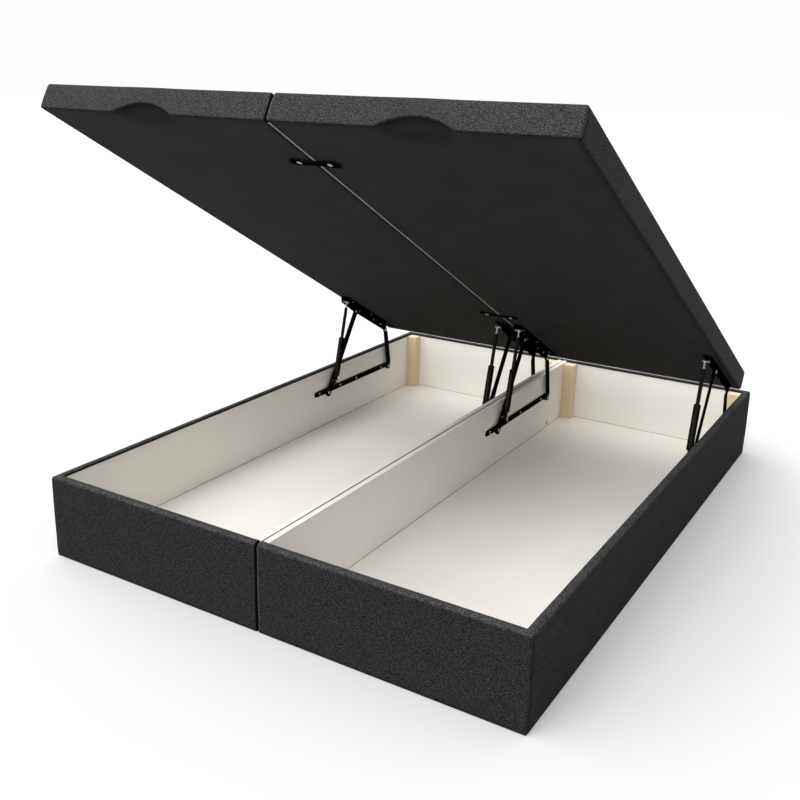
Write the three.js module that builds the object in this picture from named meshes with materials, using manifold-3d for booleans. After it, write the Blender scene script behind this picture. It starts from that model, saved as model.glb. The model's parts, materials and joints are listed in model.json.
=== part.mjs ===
// Ottoman bed: an upholstered base in two halves, full of storage, under a lid that rises on four lift mechanisms.
// Units are millimetres. +X runs across the bed, +Y from the foot to the head, +Z up.
// The origin is on the floor under the middle of the base. The lid is modelled raised.

import * as THREE from 'three';
import { mergeVertices } from 'three/addons/utils/BufferGeometryUtils.js';
import { RoundedBoxGeometry } from 'three/addons/geometries/RoundedBoxGeometry.js';
import Module from 'manifold-3d';

const wasm = await Module();
wasm.setup();

// Overall sizes
const bedWidth = 1500;
const bedLength = 2000;
const baseHeight = 250;
const lidThickness = 70;
const lidOpenAngle = THREE.MathUtils.degToRad(28.9);

// Clearances
const fit = 0.3; // between pieces that seat on each other
const seamGap = 2; // between the left and right halves
const lidGap = 1; // under the closed lid
const overcut = 5; // how far a cutting body runs past the face it opens

// Base boards and upholstery
const boardThickness = 18;
const floorThickness = 10;
const coverThickness = 4; // fabric with its thin foam
const coverRadius = 8;
const returnDepth = 8; // how far the fabric comes down inside the walls
const returnThickness = 1.5;
const glideHeight = 3;
const glideRadius = 14;
const glideInset = 34; // from a wall's outer face to the centre of a glide
const postWidth = 45; // along X
const postDepth = 40; // along Y
const postDrop = 8.5; // from the top of the base down to the top of a post

// Bolts that hold the two halves together
const boltShaftRadius = 3;
const boltClearance = 0.4;
const boltHeadRadius = 7;
const boltHeadHeight = 2;
const boltRise = 27; // above the underside of the base
const boltInset = 200; // from the foot and from the head

// Lid
const lidCoverThickness = 4;
const lidCoverRadius = 7;
const hemWidth = 16;
const hemThickness = 3;
const liningThickness = 2.4;
const deckThickness = 10;
const railWidth = 50;
const crossRailWidth = 40;
const crossRailCount = 3;
const gripWidth = 190;
const gripHeight = 28;
const gripDepth = 25;
const gripCentre = 385; // from the seam

// Plates that link the two lid halves across the seam
const linkLength = 150;
const linkWidth = 36;
const linkThickness = 3;
const linkScrewSpan = 92;
const linkScrewRadius = 6;
const linkScrewHeight = 1.5;
const linkScrewRoot = 1; // how far its head reaches into the plate
const rearLinkFromHead = 541; // along the lid, from its rear edge
const frontLinkFromFoot = 220; // along the lid, from its front edge

// Layers of a lift mechanism, counted from the wall that it is screwed to
const steelThickness = 3;
const bracketStandoff = 4;
const armStandoff = 8;
const armThickness = 4;
const strutStandoff = 24;

// Lower plate
const plateHeight = 22;
const plateDrop = 95; // from the top of the base down to the plate's centre line
const plateLengthPastFrontPivot = 83;
const pivotDrop = 102; // from the top of the base down to the lower pivots
const rearPivotFromHead = 233;
const lowerPivotSpan = 446;
const plateScrewSpots = [30, 173, 287, 477]; // behind the front end of the plate
const plateScrewRadius = 5;
const plateScrewHeight = 2;
const lobeRadius = 12;

// Upper bracket, measured on the lid: forward from its rear edge and down from its underside
const frontPivotForward = 336;
const frontPivotDepth = 24;
const rearPivotForward = 78;
const rearPivotDepth = 27;
const strutPivotForward = 436;
const strutPivotDepth = 18;
const bracketRearForward = 46;
const bracketFrontPastStrutPivot = 18;
const flangeWidth = 30;
const flangeThickness = 2.5;
const webDepth = 30;
const frontLobeRadius = 10;
const rearLobeRadius = 8;
const webFrontDepth = 12;
const webFrontSlope = 12; // how far the web's front corner is cut back, each way
const flangeScrewSpots = [90, 230, 388];
const flangeScrewStandoff = 18;
const flangeScrewRadius = 4.5;
const webRivetSpots = [182, 303];
const webRivetDepth = 14;
const webRivetRadius = 4;
const smallHeadHeight = 1.5;

// Arms and their rivets
const frontArmRadius = 10;
const frontArmFootRadius = 13;
const frontArmFootLength = 138;
const rearArmRadius = 8;
const pivotPinRadius = 4;
const pivotHoleRadius = 4.6;
const pivotHeadRadius = 6.5;
const pivotCollarRadius = 7.5;

// Gas strut
const strutFootAlongArm = 50; // from the arm's lower pivot to the strut's foot
const strutHoleRadius = 4.6;
const cylinderRadius = 11;
const boreRadius = 6;
const cylinderStart = 22; // from the foot pivot
const cylinderEnd = 176;
const boreEndGap = 2; // left under the rod when the lid is closed
const cylinderChamfer = 2;
const neckRadius = 6;
const footEyeRadius = 9;
const footEyeWidth = 12;
const rodRadius = 5.5;
const rodInsideCylinder = 22; // left in the cylinder when the strut is fully out
const rodEyeRadius = 8;
const rodEyeWidth = 10;
const rodFittingRadius = 6.5;
const rodFittingLength = 25;
const crossPinRadius = 3.5;
const crossPinHeadRadius = 6;
const crossPinHeadHeight = 3;
const footBoltHeadHeight = 2.7;
const footCollarRadius = 7;

// How finely round shapes are cut
const pinSides = 10;
const holeSides = 12;
const strutSides = 12;
const arcSteps = 3;
const roundSteps = 2;
const samePoint = 1e-4; // points nearer than this are one

// Places that follow from the sizes
const halfWidth = bedWidth / 2;
const halfLength = bedLength / 2;
const seamFace = seamGap / 2;
const baseUnderside = glideHeight + fit;
const panelOuterX = halfWidth - coverThickness - fit;
const panelInnerX = panelOuterX - boardThickness;
const panelOuterY = halfLength - coverThickness - fit;
const panelInnerY = panelOuterY - boardThickness;
const panelTop = baseHeight - coverThickness - fit;
const endPanelStart = seamFace + coverThickness + fit;
const dividerFace = seamFace + boardThickness;
const roomEndY = panelInnerY - fit;
const roomOuterX = panelInnerX - fit;
const roomInnerX = dividerFace + fit;
const postTop = baseHeight - postDrop;
const floorTop = baseUnderside + floorThickness;

const sides = [
  { name: 'left', sign: -1 },
  { name: 'right', sign: 1 },
];

// A mechanism stands on each long wall of each storage box. Inward is the way from its wall into the box.
const mechanismPlaces = [
  { name: 'left_outer', wallX: -panelInnerX, inward: 1 },
  { name: 'left_inner', wallX: -dividerFace, inward: -1 },
  { name: 'right_inner', wallX: dividerFace, inward: 1 },
  { name: 'right_outer', wallX: panelInnerX, inward: -1 },
];

// Materials
function finish(color, roughness, metalness) {
  return () => new THREE.MeshStandardMaterial({ color, roughness, metalness });
}

const charcoalFabric = finish(0x3b3b3c, 0.95, 0);
const blackLining = finish(0x1d1c1a, 0.9, 0);
const whiteBoard = finish(0xd2ccc1, 0.5, 0);
const pine = finish(0xc7ab7d, 0.65, 0);
const rawBoard = finish(0xb59a72, 0.8, 0);
const blackSteel = finish(0x15130f, 0.4, 0.6);
const brightSteel = finish(0xb9bbbd, 0.3, 1);
const blackPlastic = finish(0x161616, 0.6, 0);

// A solid that can be cut and joined, from a closed three.js geometry
function toSolid(geometry) {
  const bare = geometry.clone();
  bare.deleteAttribute('normal');
  bare.deleteAttribute('uv');
  const merged = mergeVertices(bare, samePoint);
  const vertProperties = new Float32Array(merged.attributes.position.array);
  const triVerts = new Uint32Array(merged.index.array);
  return new wasm.Manifold(new wasm.Mesh({ numProp: 3, vertProperties, triVerts }));
}

function toMesh(name, solid, material) {
  const { vertProperties, triVerts } = solid.getMesh();
  const geometry = new THREE.BufferGeometry();
  geometry.setAttribute('position', new THREE.BufferAttribute(new Float32Array(vertProperties), 3));
  geometry.setIndex(new THREE.BufferAttribute(new Uint32Array(triVerts), 1));
  geometry.computeVertexNormals();
  const mesh = new THREE.Mesh(geometry, material());
  mesh.name = name;
  return mesh;
}

// A box between two corners. Its faces lie exactly on the given values, so boxes that share a value meet.
function box(low, high) {
  const geometry = new THREE.BoxGeometry(1, 1, 1);
  const corners = geometry.attributes.position;
  for (let index = 0; index < corners.count; index += 1) {
    const unit = [corners.getX(index), corners.getY(index), corners.getZ(index)];
    corners.setXYZ(index, ...unit.map((value, axis) => (value < 0 ? low[axis] : high[axis])));
  }
  return toSolid(geometry);
}

function roundedBox(low, high, radius) {
  const size = high.map((value, axis) => value - low[axis]);
  const geometry = new RoundedBoxGeometry(...size, roundSteps, radius);
  geometry.translate(...low.map((value, axis) => value + size[axis] / 2));
  return toSolid(geometry);
}

// The corners of a box on one side of the bed, whose X is given as distances from the middle
function onSide(sign, near, far, lowY, highY, lowZ, highZ) {
  const lowX = Math.min(sign * near, sign * far);
  const highX = Math.max(sign * near, sign * far);
  return [[lowX, lowY, lowZ], [highX, highY, highZ]];
}

function sideBox(sign, ...distances) {
  return box(...onSide(sign, ...distances));
}

// A round bar along X between two X values, through the point (y, z)
function barAlongX(fromX, toX, y, z, radius, steps = pinSides) {
  const length = Math.abs(toX - fromX);
  const geometry = new THREE.CylinderGeometry(radius, radius, length, steps);
  geometry.rotateZ(Math.PI / 2);
  geometry.translate((fromX + toX) / 2, y, z);
  return toSolid(geometry);
}

// A pin turned to several radii, along X from a starting layer. Each step is [radius, the layer it ends at],
// and layers count inward from the wall.
function turnedPin(start, steps, inward, y, z = 0) {
  const profile = [new THREE.Vector2(0, start)];
  let layer = start;
  for (const [radius, end] of steps) {
    profile.push(new THREE.Vector2(radius, layer), new THREE.Vector2(radius, end));
    layer = end;
  }
  profile.push(new THREE.Vector2(0, layer));
  const geometry = new THREE.LatheGeometry(profile, pinSides);
  geometry.rotateZ((-inward * Math.PI) / 2);
  geometry.translate(0, y, z);
  return toSolid(geometry);
}

// A flat plate with its outline in the Y-Z plane and its thickness along X
function plateAlongX(shape, fromX, toX) {
  const depth = Math.abs(toX - fromX);
  const geometry = new THREE.ExtrudeGeometry(shape, { depth, bevelEnabled: false, curveSegments: arcSteps });
  const turn = new THREE.Matrix4().makeBasis(
    new THREE.Vector3(0, 1, 0),
    new THREE.Vector3(0, 0, 1),
    new THREE.Vector3(1, 0, 0),
  );
  geometry.applyMatrix4(turn);
  geometry.translate(Math.min(fromX, toX), 0, 0);
  return toSolid(geometry);
}

// A round hole in a plate's outline, drawn as two half circles
function holeOutline(y, z, radius) {
  const hole = new THREE.Path();
  hole.absarc(y, z, radius, Math.PI, 0, true);
  hole.absarc(y, z, radius, 0, Math.PI, true);
  return hole;
}

// A lobe that hangs below a plate's straight lower edge, and one that ends the plate
function addLobe(shape, centre, radius, edgeZ) {
  const turn = Math.asin((centre.y - edgeZ) / radius);
  shape.absarc(centre.x, centre.y, radius, Math.PI + turn, -turn, false);
}

function addEndLobe(shape, centre, radius, edgeZ) {
  const turn = Math.asin((centre.y - edgeZ) / radius);
  shape.absarc(centre.x, centre.y, radius, Math.PI + turn, 0, false);
}

// The two points where two circles in the Y-Z plane meet
function circlesMeet(centreA, radiusA, centreB, radiusB) {
  const across = centreB.clone().sub(centreA);
  const distance = across.length();
  const along = (radiusA ** 2 - radiusB ** 2 + distance ** 2) / (2 * distance);
  const height = Math.sqrt(radiusA ** 2 - along ** 2);
  const unit = across.divideScalar(distance);
  const foot = centreA.clone().addScaledVector(unit, along);
  const normal = new THREE.Vector2(-unit.y, unit.x);
  return [foot.clone().addScaledVector(normal, height), foot.clone().addScaledVector(normal, -height)];
}

// The linkage in the Y-Z plane. The closed lid gives the arms their lengths, and the open lid sits where
// both arms reach its pivots again, turned by the opening angle.
function solveLinkage() {
  const rearLower = new THREE.Vector2(halfLength - rearPivotFromHead, baseHeight - pivotDrop);
  const frontLower = new THREE.Vector2(rearLower.x - lowerPivotSpan, rearLower.y);
  const closedEdge = new THREE.Vector2(halfLength, baseHeight + lidGap);
  const onLid = (forward, depth, angle) => new THREE.Vector2(-forward, -depth)
    .rotateAround(new THREE.Vector2(0, 0), -angle);
  const closedAt = (forward, depth) => closedEdge.clone().add(onLid(forward, depth, 0));
  const frontArmLength = closedAt(frontPivotForward, frontPivotDepth).distanceTo(frontLower);
  const rearArmLength = closedAt(rearPivotForward, rearPivotDepth).distanceTo(rearLower);
  const [first, second] = circlesMeet(
    frontLower.clone().sub(onLid(frontPivotForward, frontPivotDepth, lidOpenAngle)),
    frontArmLength,
    rearLower.clone().sub(onLid(rearPivotForward, rearPivotDepth, lidOpenAngle)),
    rearArmLength,
  );
  const openEdge = first.y > second.y ? first : second;
  const openAt = (forward, depth) => openEdge.clone().add(onLid(forward, depth, lidOpenAngle));
  const pose = (edgeAt) => {
    const frontAngle = edgeAt(frontPivotForward, frontPivotDepth).sub(frontLower).angle();
    const rearAngle = edgeAt(rearPivotForward, rearPivotDepth).sub(rearLower).angle();
    const strutFoot = new THREE.Vector2(strutFootAlongArm, 0)
      .rotateAround(new THREE.Vector2(0, 0), frontAngle)
      .add(frontLower);
    const strutLine = edgeAt(strutPivotForward, strutPivotDepth).sub(strutFoot);
    return { frontAngle, rearAngle, strutFoot, strutAngle: strutLine.angle(), strutLength: strutLine.length() };
  };
  return {
    rearLower,
    frontLower,
    frontArmLength,
    rearArmLength,
    openEdge,
    open: pose(openAt),
    closed: pose(closedAt),
  };
}

const linkage = solveLinkage();

// Base upholstery: a skin round the foot, one long side and the head, a lip over the tops of the boards,
// and a return that comes down inside the foot and the long side
function baseCover(sign) {
  const skinX = halfWidth - coverThickness;
  const skinY = halfLength - coverThickness;
  const skinTop = baseHeight - coverThickness;
  const low = baseUnderside - overcut;
  const high = baseHeight + overcut;
  const returnStart = roomInnerX + fit;
  const returnFaceX = roomOuterX - returnThickness;
  const returnFaceY = roomEndY - returnThickness;
  const returnLow = baseHeight - returnDepth;
  const outside = roundedBox(
    ...onSide(sign, seamFace, halfWidth, -halfLength, halfLength, baseUnderside - 2 * coverRadius, baseHeight),
    coverRadius,
  );
  const belowBase = sideBox(
    sign,
    -overcut,
    halfWidth + overcut,
    -halfLength - overcut,
    halfLength + overcut,
    baseUnderside - 3 * coverRadius,
    baseUnderside,
  );
  const lowRoom = sideBox(sign, -overcut, panelInnerX, -panelInnerY, panelInnerY, low, returnLow);
  const sideSlot = sideBox(sign, roomOuterX, skinX, -skinY, skinY, low, skinTop);
  const footSlot = sideBox(sign, seamFace + coverThickness, skinX, -skinY, -roomEndY, low, skinTop);
  const headSlot = sideBox(sign, seamFace + coverThickness, skinX, roomEndY, skinY, low, skinTop);
  const mouth = sideBox(sign, 0, returnFaceX, -returnFaceY, panelInnerY, low, high);
  const seamMouth = sideBox(sign, -overcut, returnStart, -panelInnerY, panelInnerY, low, high);
  return [belowBase, lowRoom, sideSlot, footSlot, headSlot, mouth, seamMouth]
    .reduce((cover, cut) => cover.subtract(cut), outside);
}

function endPanel(sign, end) {
  const outer = end * panelOuterY;
  const inner = end * panelInnerY;
  const lowY = Math.min(outer, inner);
  const highY = Math.max(outer, inner);
  return sideBox(sign, endPanelStart, panelOuterX, lowY, highY, baseUnderside, panelTop);
}

function boltHole(y) {
  const radius = boltShaftRadius + boltClearance;
  return barAlongX(-dividerFace - overcut, dividerFace + overcut, y, baseUnderside + boltRise, radius);
}

const boltPlaces = [
  { name: 'connector_bolt_foot', y: -halfLength + boltInset },
  { name: 'connector_bolt_head', y: halfLength - boltInset },
];

function divider(sign) {
  const board = sideBox(sign, seamFace, dividerFace, -roomEndY, roomEndY, baseUnderside, panelTop);
  return boltPlaces.reduce((cut, place) => cut.subtract(boltHole(place.y)), board);
}

function connectorBolt(place) {
  const reach = dividerFace + fit;
  const steps = [
    [boltHeadRadius, -reach],
    [boltShaftRadius, reach],
    [boltHeadRadius, reach + boltHeadHeight],
  ];
  return turnedPin(-reach - boltHeadHeight, steps, 1, place.y, baseUnderside + boltRise);
}

function postSpan(place) {
  return place === 'inner' ? [roomInnerX, roomInnerX + postWidth] : [roomOuterX - postWidth, roomOuterX];
}

function cornerPost(sign, place) {
  const [near, far] = postSpan(place);
  return sideBox(sign, near, far, roomEndY - postDepth, roomEndY, baseUnderside, postTop);
}

// The floor board fills the room between the boards, and is notched round the corner posts
function floorBoard(sign) {
  const board = sideBox(sign, roomInnerX, roomOuterX, -roomEndY, roomEndY, baseUnderside, floorTop);
  return ['inner', 'outer'].reduce((cut, place) => {
    const [near, far] = postSpan(place);
    const notchY = roomEndY - postDepth - fit;
    const low = near === roomInnerX ? near - overcut : near - fit;
    const high = far === roomOuterX ? far + overcut : far + fit;
    return cut.subtract(sideBox(sign, low, high, notchY, halfLength, 0, floorTop + overcut));
  }, board);
}

function glide() {
  const geometry = new THREE.CylinderGeometry(glideRadius, glideRadius, glideHeight, holeSides);
  geometry.rotateX(Math.PI / 2);
  geometry.translate(0, 0, glideHeight / 2);
  return toSolid(geometry);
}

// Lid pieces are modelled about the lid's rear lower edge, with the lid flat and running towards -Y
const lidLength = bedLength;
const lidOuterX = halfWidth - lidCoverThickness;
const lidInnerX = seamFace + lidCoverThickness;
const deckTop = lidThickness - lidCoverThickness - fit;
const deckUnderside = deckTop - deckThickness;

// The arch of a hand grip, cut into the lower edge of the lid's front
function gripArch(sign) {
  const radius = (gripWidth ** 2 / 4 + gripHeight ** 2) / (2 * gripHeight);
  const centreZ = gripHeight - radius;
  const halfAngle = Math.asin(gripWidth / 2 / radius);
  const shape = new THREE.Shape();
  shape.moveTo(-gripWidth / 2, -overcut);
  shape.lineTo(gripWidth / 2, -overcut);
  shape.absarc(0, centreZ, radius, Math.PI / 2 - halfAngle, Math.PI / 2 + halfAngle, false);
  shape.closePath();
  const geometry = new THREE.ExtrudeGeometry(shape, {
    depth: gripDepth + overcut,
    bevelEnabled: false,
    curveSegments: 2 * arcSteps,
  });
  geometry.rotateX(Math.PI / 2);
  geometry.translate(sign * gripCentre, -lidLength + gripDepth, 0);
  return toSolid(geometry);
}

// The block of lined material that a hand grip is cut from, and with a clearance the room for it
function gripBlock(sign, bottom, clearance) {
  const reach = gripWidth / 2 + lidCoverThickness + clearance;
  const top = gripHeight + lidCoverThickness + clearance;
  const front = -lidLength + lidCoverThickness / 2;
  const back = -lidLength + gripDepth + lidCoverThickness + clearance;
  return sideBox(sign, gripCentre - reach, gripCentre + reach, front, back, bottom, top);
}

function lidCover(sign) {
  const hemInset = lidCoverThickness + hemWidth;
  const outside = roundedBox(
    ...onSide(sign, seamFace, halfWidth, -lidLength, 0, 0, lidThickness),
    lidCoverRadius,
  );
  const inside = sideBox(
    sign,
    lidInnerX,
    lidOuterX,
    -lidLength + lidCoverThickness,
    -lidCoverThickness,
    hemThickness,
    lidThickness - lidCoverThickness,
  );
  const mouth = sideBox(
    sign,
    seamFace + hemInset,
    halfWidth - hemInset,
    -lidLength + hemInset,
    -hemInset,
    -overcut,
    hemThickness + overcut,
  );
  return outside
    .subtract(inside)
    .subtract(mouth)
    .add(gripBlock(sign, hemThickness / 2, 0))
    .subtract(gripArch(sign));
}

function lidLining(sign) {
  const inset = lidCoverThickness + hemWidth + fit;
  return sideBox(
    sign,
    seamFace + inset,
    halfWidth - inset,
    -lidLength + inset,
    -inset,
    0,
    liningThickness,
  ).subtract(gripBlock(sign, -overcut, fit));
}

function lidDeck(sign) {
  const front = -lidLength + lidCoverThickness + fit;
  return sideBox(sign, lidInnerX + fit, lidOuterX - fit, front, -lidCoverThickness - fit, deckUnderside, deckTop);
}

function lidFrame(sign) {
  const near = lidInnerX + fit;
  const far = lidOuterX - fit;
  const front = -lidLength + lidCoverThickness + fit;
  const rear = -lidCoverThickness - fit;
  const low = hemThickness + fit;
  const high = deckUnderside - fit;
  const windowCount = crossRailCount + 1;
  const inside = rear - front - 2 * railWidth;
  const windowLength = (inside - crossRailCount * crossRailWidth) / windowCount;
  let frame = sideBox(sign, near, far, front, rear, low, high);
  for (let index = 0; index < windowCount; index += 1) {
    const start = front + railWidth + index * (windowLength + crossRailWidth);
    const window = sideBox(
      sign,
      near + railWidth,
      far - railWidth,
      start,
      start + windowLength,
      low - overcut,
      high + overcut,
    );
    frame = frame.subtract(window);
  }
  return frame.subtract(gripBlock(sign, -overcut, fit));
}

// A link plate under the seam, one end pointed and one end round, with its two screws
function linkPlate(forward) {
  const half = linkLength / 2;
  const point = linkWidth / 3;
  const shape = new THREE.Shape();
  shape.moveTo(-half, 0);
  shape.lineTo(-half + point, -linkWidth / 2);
  shape.lineTo(half - linkWidth / 2, -linkWidth / 2);
  shape.absarc(half - linkWidth / 2, 0, linkWidth / 2, -Math.PI / 2, Math.PI / 2, false);
  shape.lineTo(-half + point, linkWidth / 2);
  shape.closePath();
  const geometry = new THREE.ExtrudeGeometry(shape, {
    depth: linkThickness,
    bevelEnabled: false,
    curveSegments: arcSteps,
  });
  geometry.translate(0, -forward, -fit - linkThickness);
  const headBottom = -fit - linkThickness - linkScrewHeight;
  return [-1, 1].reduce((plate, end) => {
    const height = linkScrewHeight + linkScrewRoot;
    const head = new THREE.CylinderGeometry(linkScrewRadius, linkScrewRadius, height, pinSides);
    head.rotateX(Math.PI / 2);
    head.translate((end * linkScrewSpan) / 2, -forward, headBottom + height / 2);
    return plate.add(toSolid(head));
  }, toSolid(geometry));
}

// Lower plate: a flat bar on the wall with a round front end, a lobe that hangs at each pivot
// and four screw heads
function lowerPlate(inward) {
  const near = inward * fit;
  const face = inward * (fit + steelThickness);
  const { frontLower, rearLower } = linkage;
  const endRadius = plateHeight / 2;
  const barZ = baseHeight - plateDrop;
  const bottom = barZ - endRadius;
  const front = frontLower.x - plateLengthPastFrontPivot;
  const rear = rearLower.x + lobeRadius;
  const shape = new THREE.Shape();
  shape.absarc(front + endRadius, barZ, endRadius, Math.PI / 2, 1.5 * Math.PI, false);
  addLobe(shape, frontLower, lobeRadius, bottom);
  addEndLobe(shape, rearLower, lobeRadius, bottom);
  shape.lineTo(rear, barZ);
  shape.lineTo(rear - endRadius, barZ + endRadius);
  shape.closePath();
  shape.holes = [frontLower, rearLower].map((pivot) => holeOutline(pivot.x, pivot.y, pivotHoleRadius));
  const headStart = near + (inward * steelThickness) / 2;
  const headFace = face + inward * plateScrewHeight;
  return plateScrewSpots.reduce(
    (plate, spot) => plate.add(barAlongX(headStart, headFace, front + spot, barZ, plateScrewRadius)),
    plateAlongX(shape, near, face),
  );
}

// Upper bracket: an angle whose web hangs beside the wall and whose flange is screwed to the lid
function upperBracket(inward) {
  const webNear = inward * bracketStandoff;
  const webFar = inward * (bracketStandoff + steelThickness);
  const webMiddle = (webNear + webFar) / 2;
  const flangeFar = inward * (bracketStandoff + flangeWidth);
  const rivetFar = webFar + inward * smallHeadHeight;
  const frontEnd = strutPivotForward + bracketFrontPastStrutPivot;
  const frontPivot = new THREE.Vector2(-frontPivotForward, -frontPivotDepth);
  const rearPivot = new THREE.Vector2(-rearPivotForward, -rearPivotDepth);
  const web = new THREE.Shape();
  web.moveTo(rearPivot.x + rearLobeRadius, -fit);
  web.lineTo(-frontEnd, -fit);
  web.lineTo(-frontEnd, -webFrontDepth);
  web.lineTo(-frontEnd + webFrontSlope, -webFrontDepth - webFrontSlope);
  web.lineTo(frontPivot.x - 2 * frontLobeRadius, -webDepth);
  addLobe(web, frontPivot, frontLobeRadius, -webDepth);
  addEndLobe(web, rearPivot, rearLobeRadius, -webDepth);
  web.closePath();
  web.holes = [holeOutline(frontPivot.x, frontPivot.y, pivotHoleRadius)];
  const flange = box(
    [Math.min(webNear, flangeFar), -frontEnd, -fit - flangeThickness],
    [Math.max(webNear, flangeFar), -bracketRearForward, -fit],
  );
  const rivets = webRivetSpots.map(
    (forward) => barAlongX(webMiddle, rivetFar, -forward, -webRivetDepth, webRivetRadius),
  );
  const screws = flangeScrewSpots.map((forward) => {
    const height = flangeThickness / 2 + smallHeadHeight;
    const head = new THREE.CylinderGeometry(flangeScrewRadius, flangeScrewRadius, height, pinSides);
    head.rotateX(Math.PI / 2);
    head.translate(inward * flangeScrewStandoff, -forward, -fit - flangeThickness / 2 - height / 2);
    return toSolid(head);
  });
  return [flange, ...rivets, ...screws]
    .reduce((bracket, piece) => bracket.add(piece), plateAlongX(web, webNear, webFar));
}

// The layers of an arm: its two faces, the middle of its steel and the top of a rivet head on it
const armNear = armStandoff;
const armFar = armStandoff + armThickness;
const armMiddle = (armNear + armFar) / 2;
const armHead = armFar + smallHeadHeight;
const bracketFar = bracketStandoff + steelThickness;

// An arm's rivet at its lower end: a pin in the lower plate's hole, a collar that holds the arm off
// the plate and a round head on the arm's inner face
function lowerRivet(inward) {
  return turnedPin(2 * fit, [
    [pivotPinRadius, 2 * fit + steelThickness],
    [pivotCollarRadius, armMiddle],
    [pivotHeadRadius, armHead],
  ], inward, 0);
}

// An arm that is modelled along +Y from its lower pivot: a bar with round ends, with a foot
// that may be wider than the rest
function armBar(inward, length, radius, footRadius, footLength) {
  const shape = new THREE.Shape();
  shape.absarc(0, 0, footRadius, Math.PI / 2, 1.5 * Math.PI, false);
  if (footRadius > radius) {
    shape.lineTo(footLength, -footRadius);
    shape.lineTo(footLength + footRadius, -radius);
  }
  shape.absarc(length, 0, radius, -Math.PI / 2, Math.PI / 2, false);
  if (footRadius > radius) {
    shape.lineTo(footLength + footRadius, radius);
    shape.lineTo(footLength, footRadius);
  }
  shape.closePath();
  return plateAlongX(shape, inward * armNear, inward * armFar);
}

// Front arm: riveted to the lower plate and through the bracket, with a rivet at the top of its wide
// foot and the bolt that carries the foot of the gas strut
function frontArm(inward) {
  const tip = linkage.frontArmLength;
  const backHead = bracketStandoff - fit;
  const eyeNear = strutStandoff - footEyeWidth / 2 - fit;
  const eyeFar = strutStandoff + footEyeWidth / 2 + fit;
  const upperRivet = turnedPin(backHead - smallHeadHeight, [
    [pivotHeadRadius, backHead],
    [pivotPinRadius, bracketFar + fit],
    [pivotCollarRadius, armMiddle],
    [pivotHeadRadius, armHead],
  ], inward, tip);
  const strutBolt = turnedPin(armMiddle, [
    [footCollarRadius, eyeNear],
    [pivotPinRadius, eyeFar],
    [pivotHeadRadius, eyeFar + footBoltHeadHeight],
  ], inward, strutFootAlongArm);
  const footRivet = turnedPin(armMiddle, [[webRivetRadius, armHead]], inward, frontArmFootLength);
  return armBar(inward, tip, frontArmRadius, frontArmFootRadius, frontArmFootLength)
    .add(lowerRivet(inward))
    .add(upperRivet)
    .add(strutBolt)
    .add(footRivet);
}

// Rear arm: a plain bar whose upper rivet stops just short of the bracket's web
function rearArm(inward) {
  const tip = linkage.rearArmLength;
  const upperRivet = turnedPin(bracketFar + fit, [
    [pivotCollarRadius, armMiddle],
    [pivotHeadRadius, armHead],
  ], inward, tip);
  return armBar(inward, tip, rearArmRadius, rearArmRadius, 0)
    .add(lowerRivet(inward))
    .add(upperRivet);
}

// The rod slides down its cylinder as the lid closes, and the bore is that much deeper
const rodTravel = linkage.open.strutLength - linkage.closed.strutLength;
const rodStart = cylinderEnd - rodInsideCylinder;
const boreBottom = rodStart - rodTravel - boreEndGap;

// A body turned round the strut's own axis, which runs along +Y from the strut's foot
function turnedAlongStrut(points, inward) {
  const profile = points.map(([radius, along]) => new THREE.Vector2(radius, along));
  const geometry = new THREE.LatheGeometry(profile, strutSides);
  geometry.translate(inward * strutStandoff, 0, 0);
  return toSolid(geometry);
}

function gasCylinder(inward) {
  const eyeNear = inward * (strutStandoff - footEyeWidth / 2);
  const eyeFar = inward * (strutStandoff + footEyeWidth / 2);
  const body = turnedAlongStrut([
    [0, footEyeRadius / 2],
    [neckRadius, footEyeRadius / 2],
    [neckRadius, cylinderStart],
    [cylinderRadius - cylinderChamfer, cylinderStart],
    [cylinderRadius, cylinderStart + cylinderChamfer],
    [cylinderRadius, cylinderEnd - cylinderChamfer],
    [cylinderRadius - cylinderChamfer, cylinderEnd],
    [boreRadius, cylinderEnd],
    [boreRadius, boreBottom],
    [0, boreBottom],
  ], inward);
  return body
    .add(barAlongX(eyeNear, eyeFar, 0, 0, footEyeRadius, holeSides))
    .subtract(turnedPin(
      strutStandoff - footEyeWidth,
      [[strutHoleRadius, strutStandoff + footEyeWidth]],
      inward,
      0,
    ));
}

// Rod: its lower end stays in the cylinder, and its upper end has a fitting with a cross pin
// that stops just short of the bracket's web
function gasRod(inward) {
  const tip = linkage.open.strutLength;
  const eyeNear = inward * (strutStandoff - rodEyeWidth / 2);
  const eyeFar = inward * (strutStandoff + rodEyeWidth / 2);
  const pinNear = bracketFar + fit;
  const crossPin = turnedPin(pinNear, [
    [crossPinHeadRadius, pinNear + crossPinHeadHeight],
    [crossPinRadius, strutStandoff],
    [crossPinHeadRadius, strutStandoff + rodEyeWidth / 2 + crossPinHeadHeight],
  ], inward, tip);
  return turnedAlongStrut([
    [0, rodStart],
    [rodRadius, rodStart],
    [rodRadius, tip - rodFittingLength],
    [rodFittingRadius, tip - rodFittingLength],
    [rodFittingRadius, tip - rodEyeRadius / 2],
    [0, tip - rodEyeRadius / 2],
  ], inward)
    .add(barAlongX(eyeNear, eyeFar, tip, 0, rodEyeRadius, holeSides))
    .add(crossPin);
}

// Sets a mesh at a point of the Y-Z plane, turned about X
function placed(mesh, x, pivot, angle) {
  mesh.position.set(x, pivot.x, pivot.y);
  mesh.rotation.x = angle;
  return mesh;
}

const bed = new THREE.Group();
const lid = new THREE.Group();
lid.position.set(0, linkage.openEdge.x, linkage.openEdge.y);
lid.rotation.x = -lidOpenAngle;
bed.add(lid);

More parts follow.
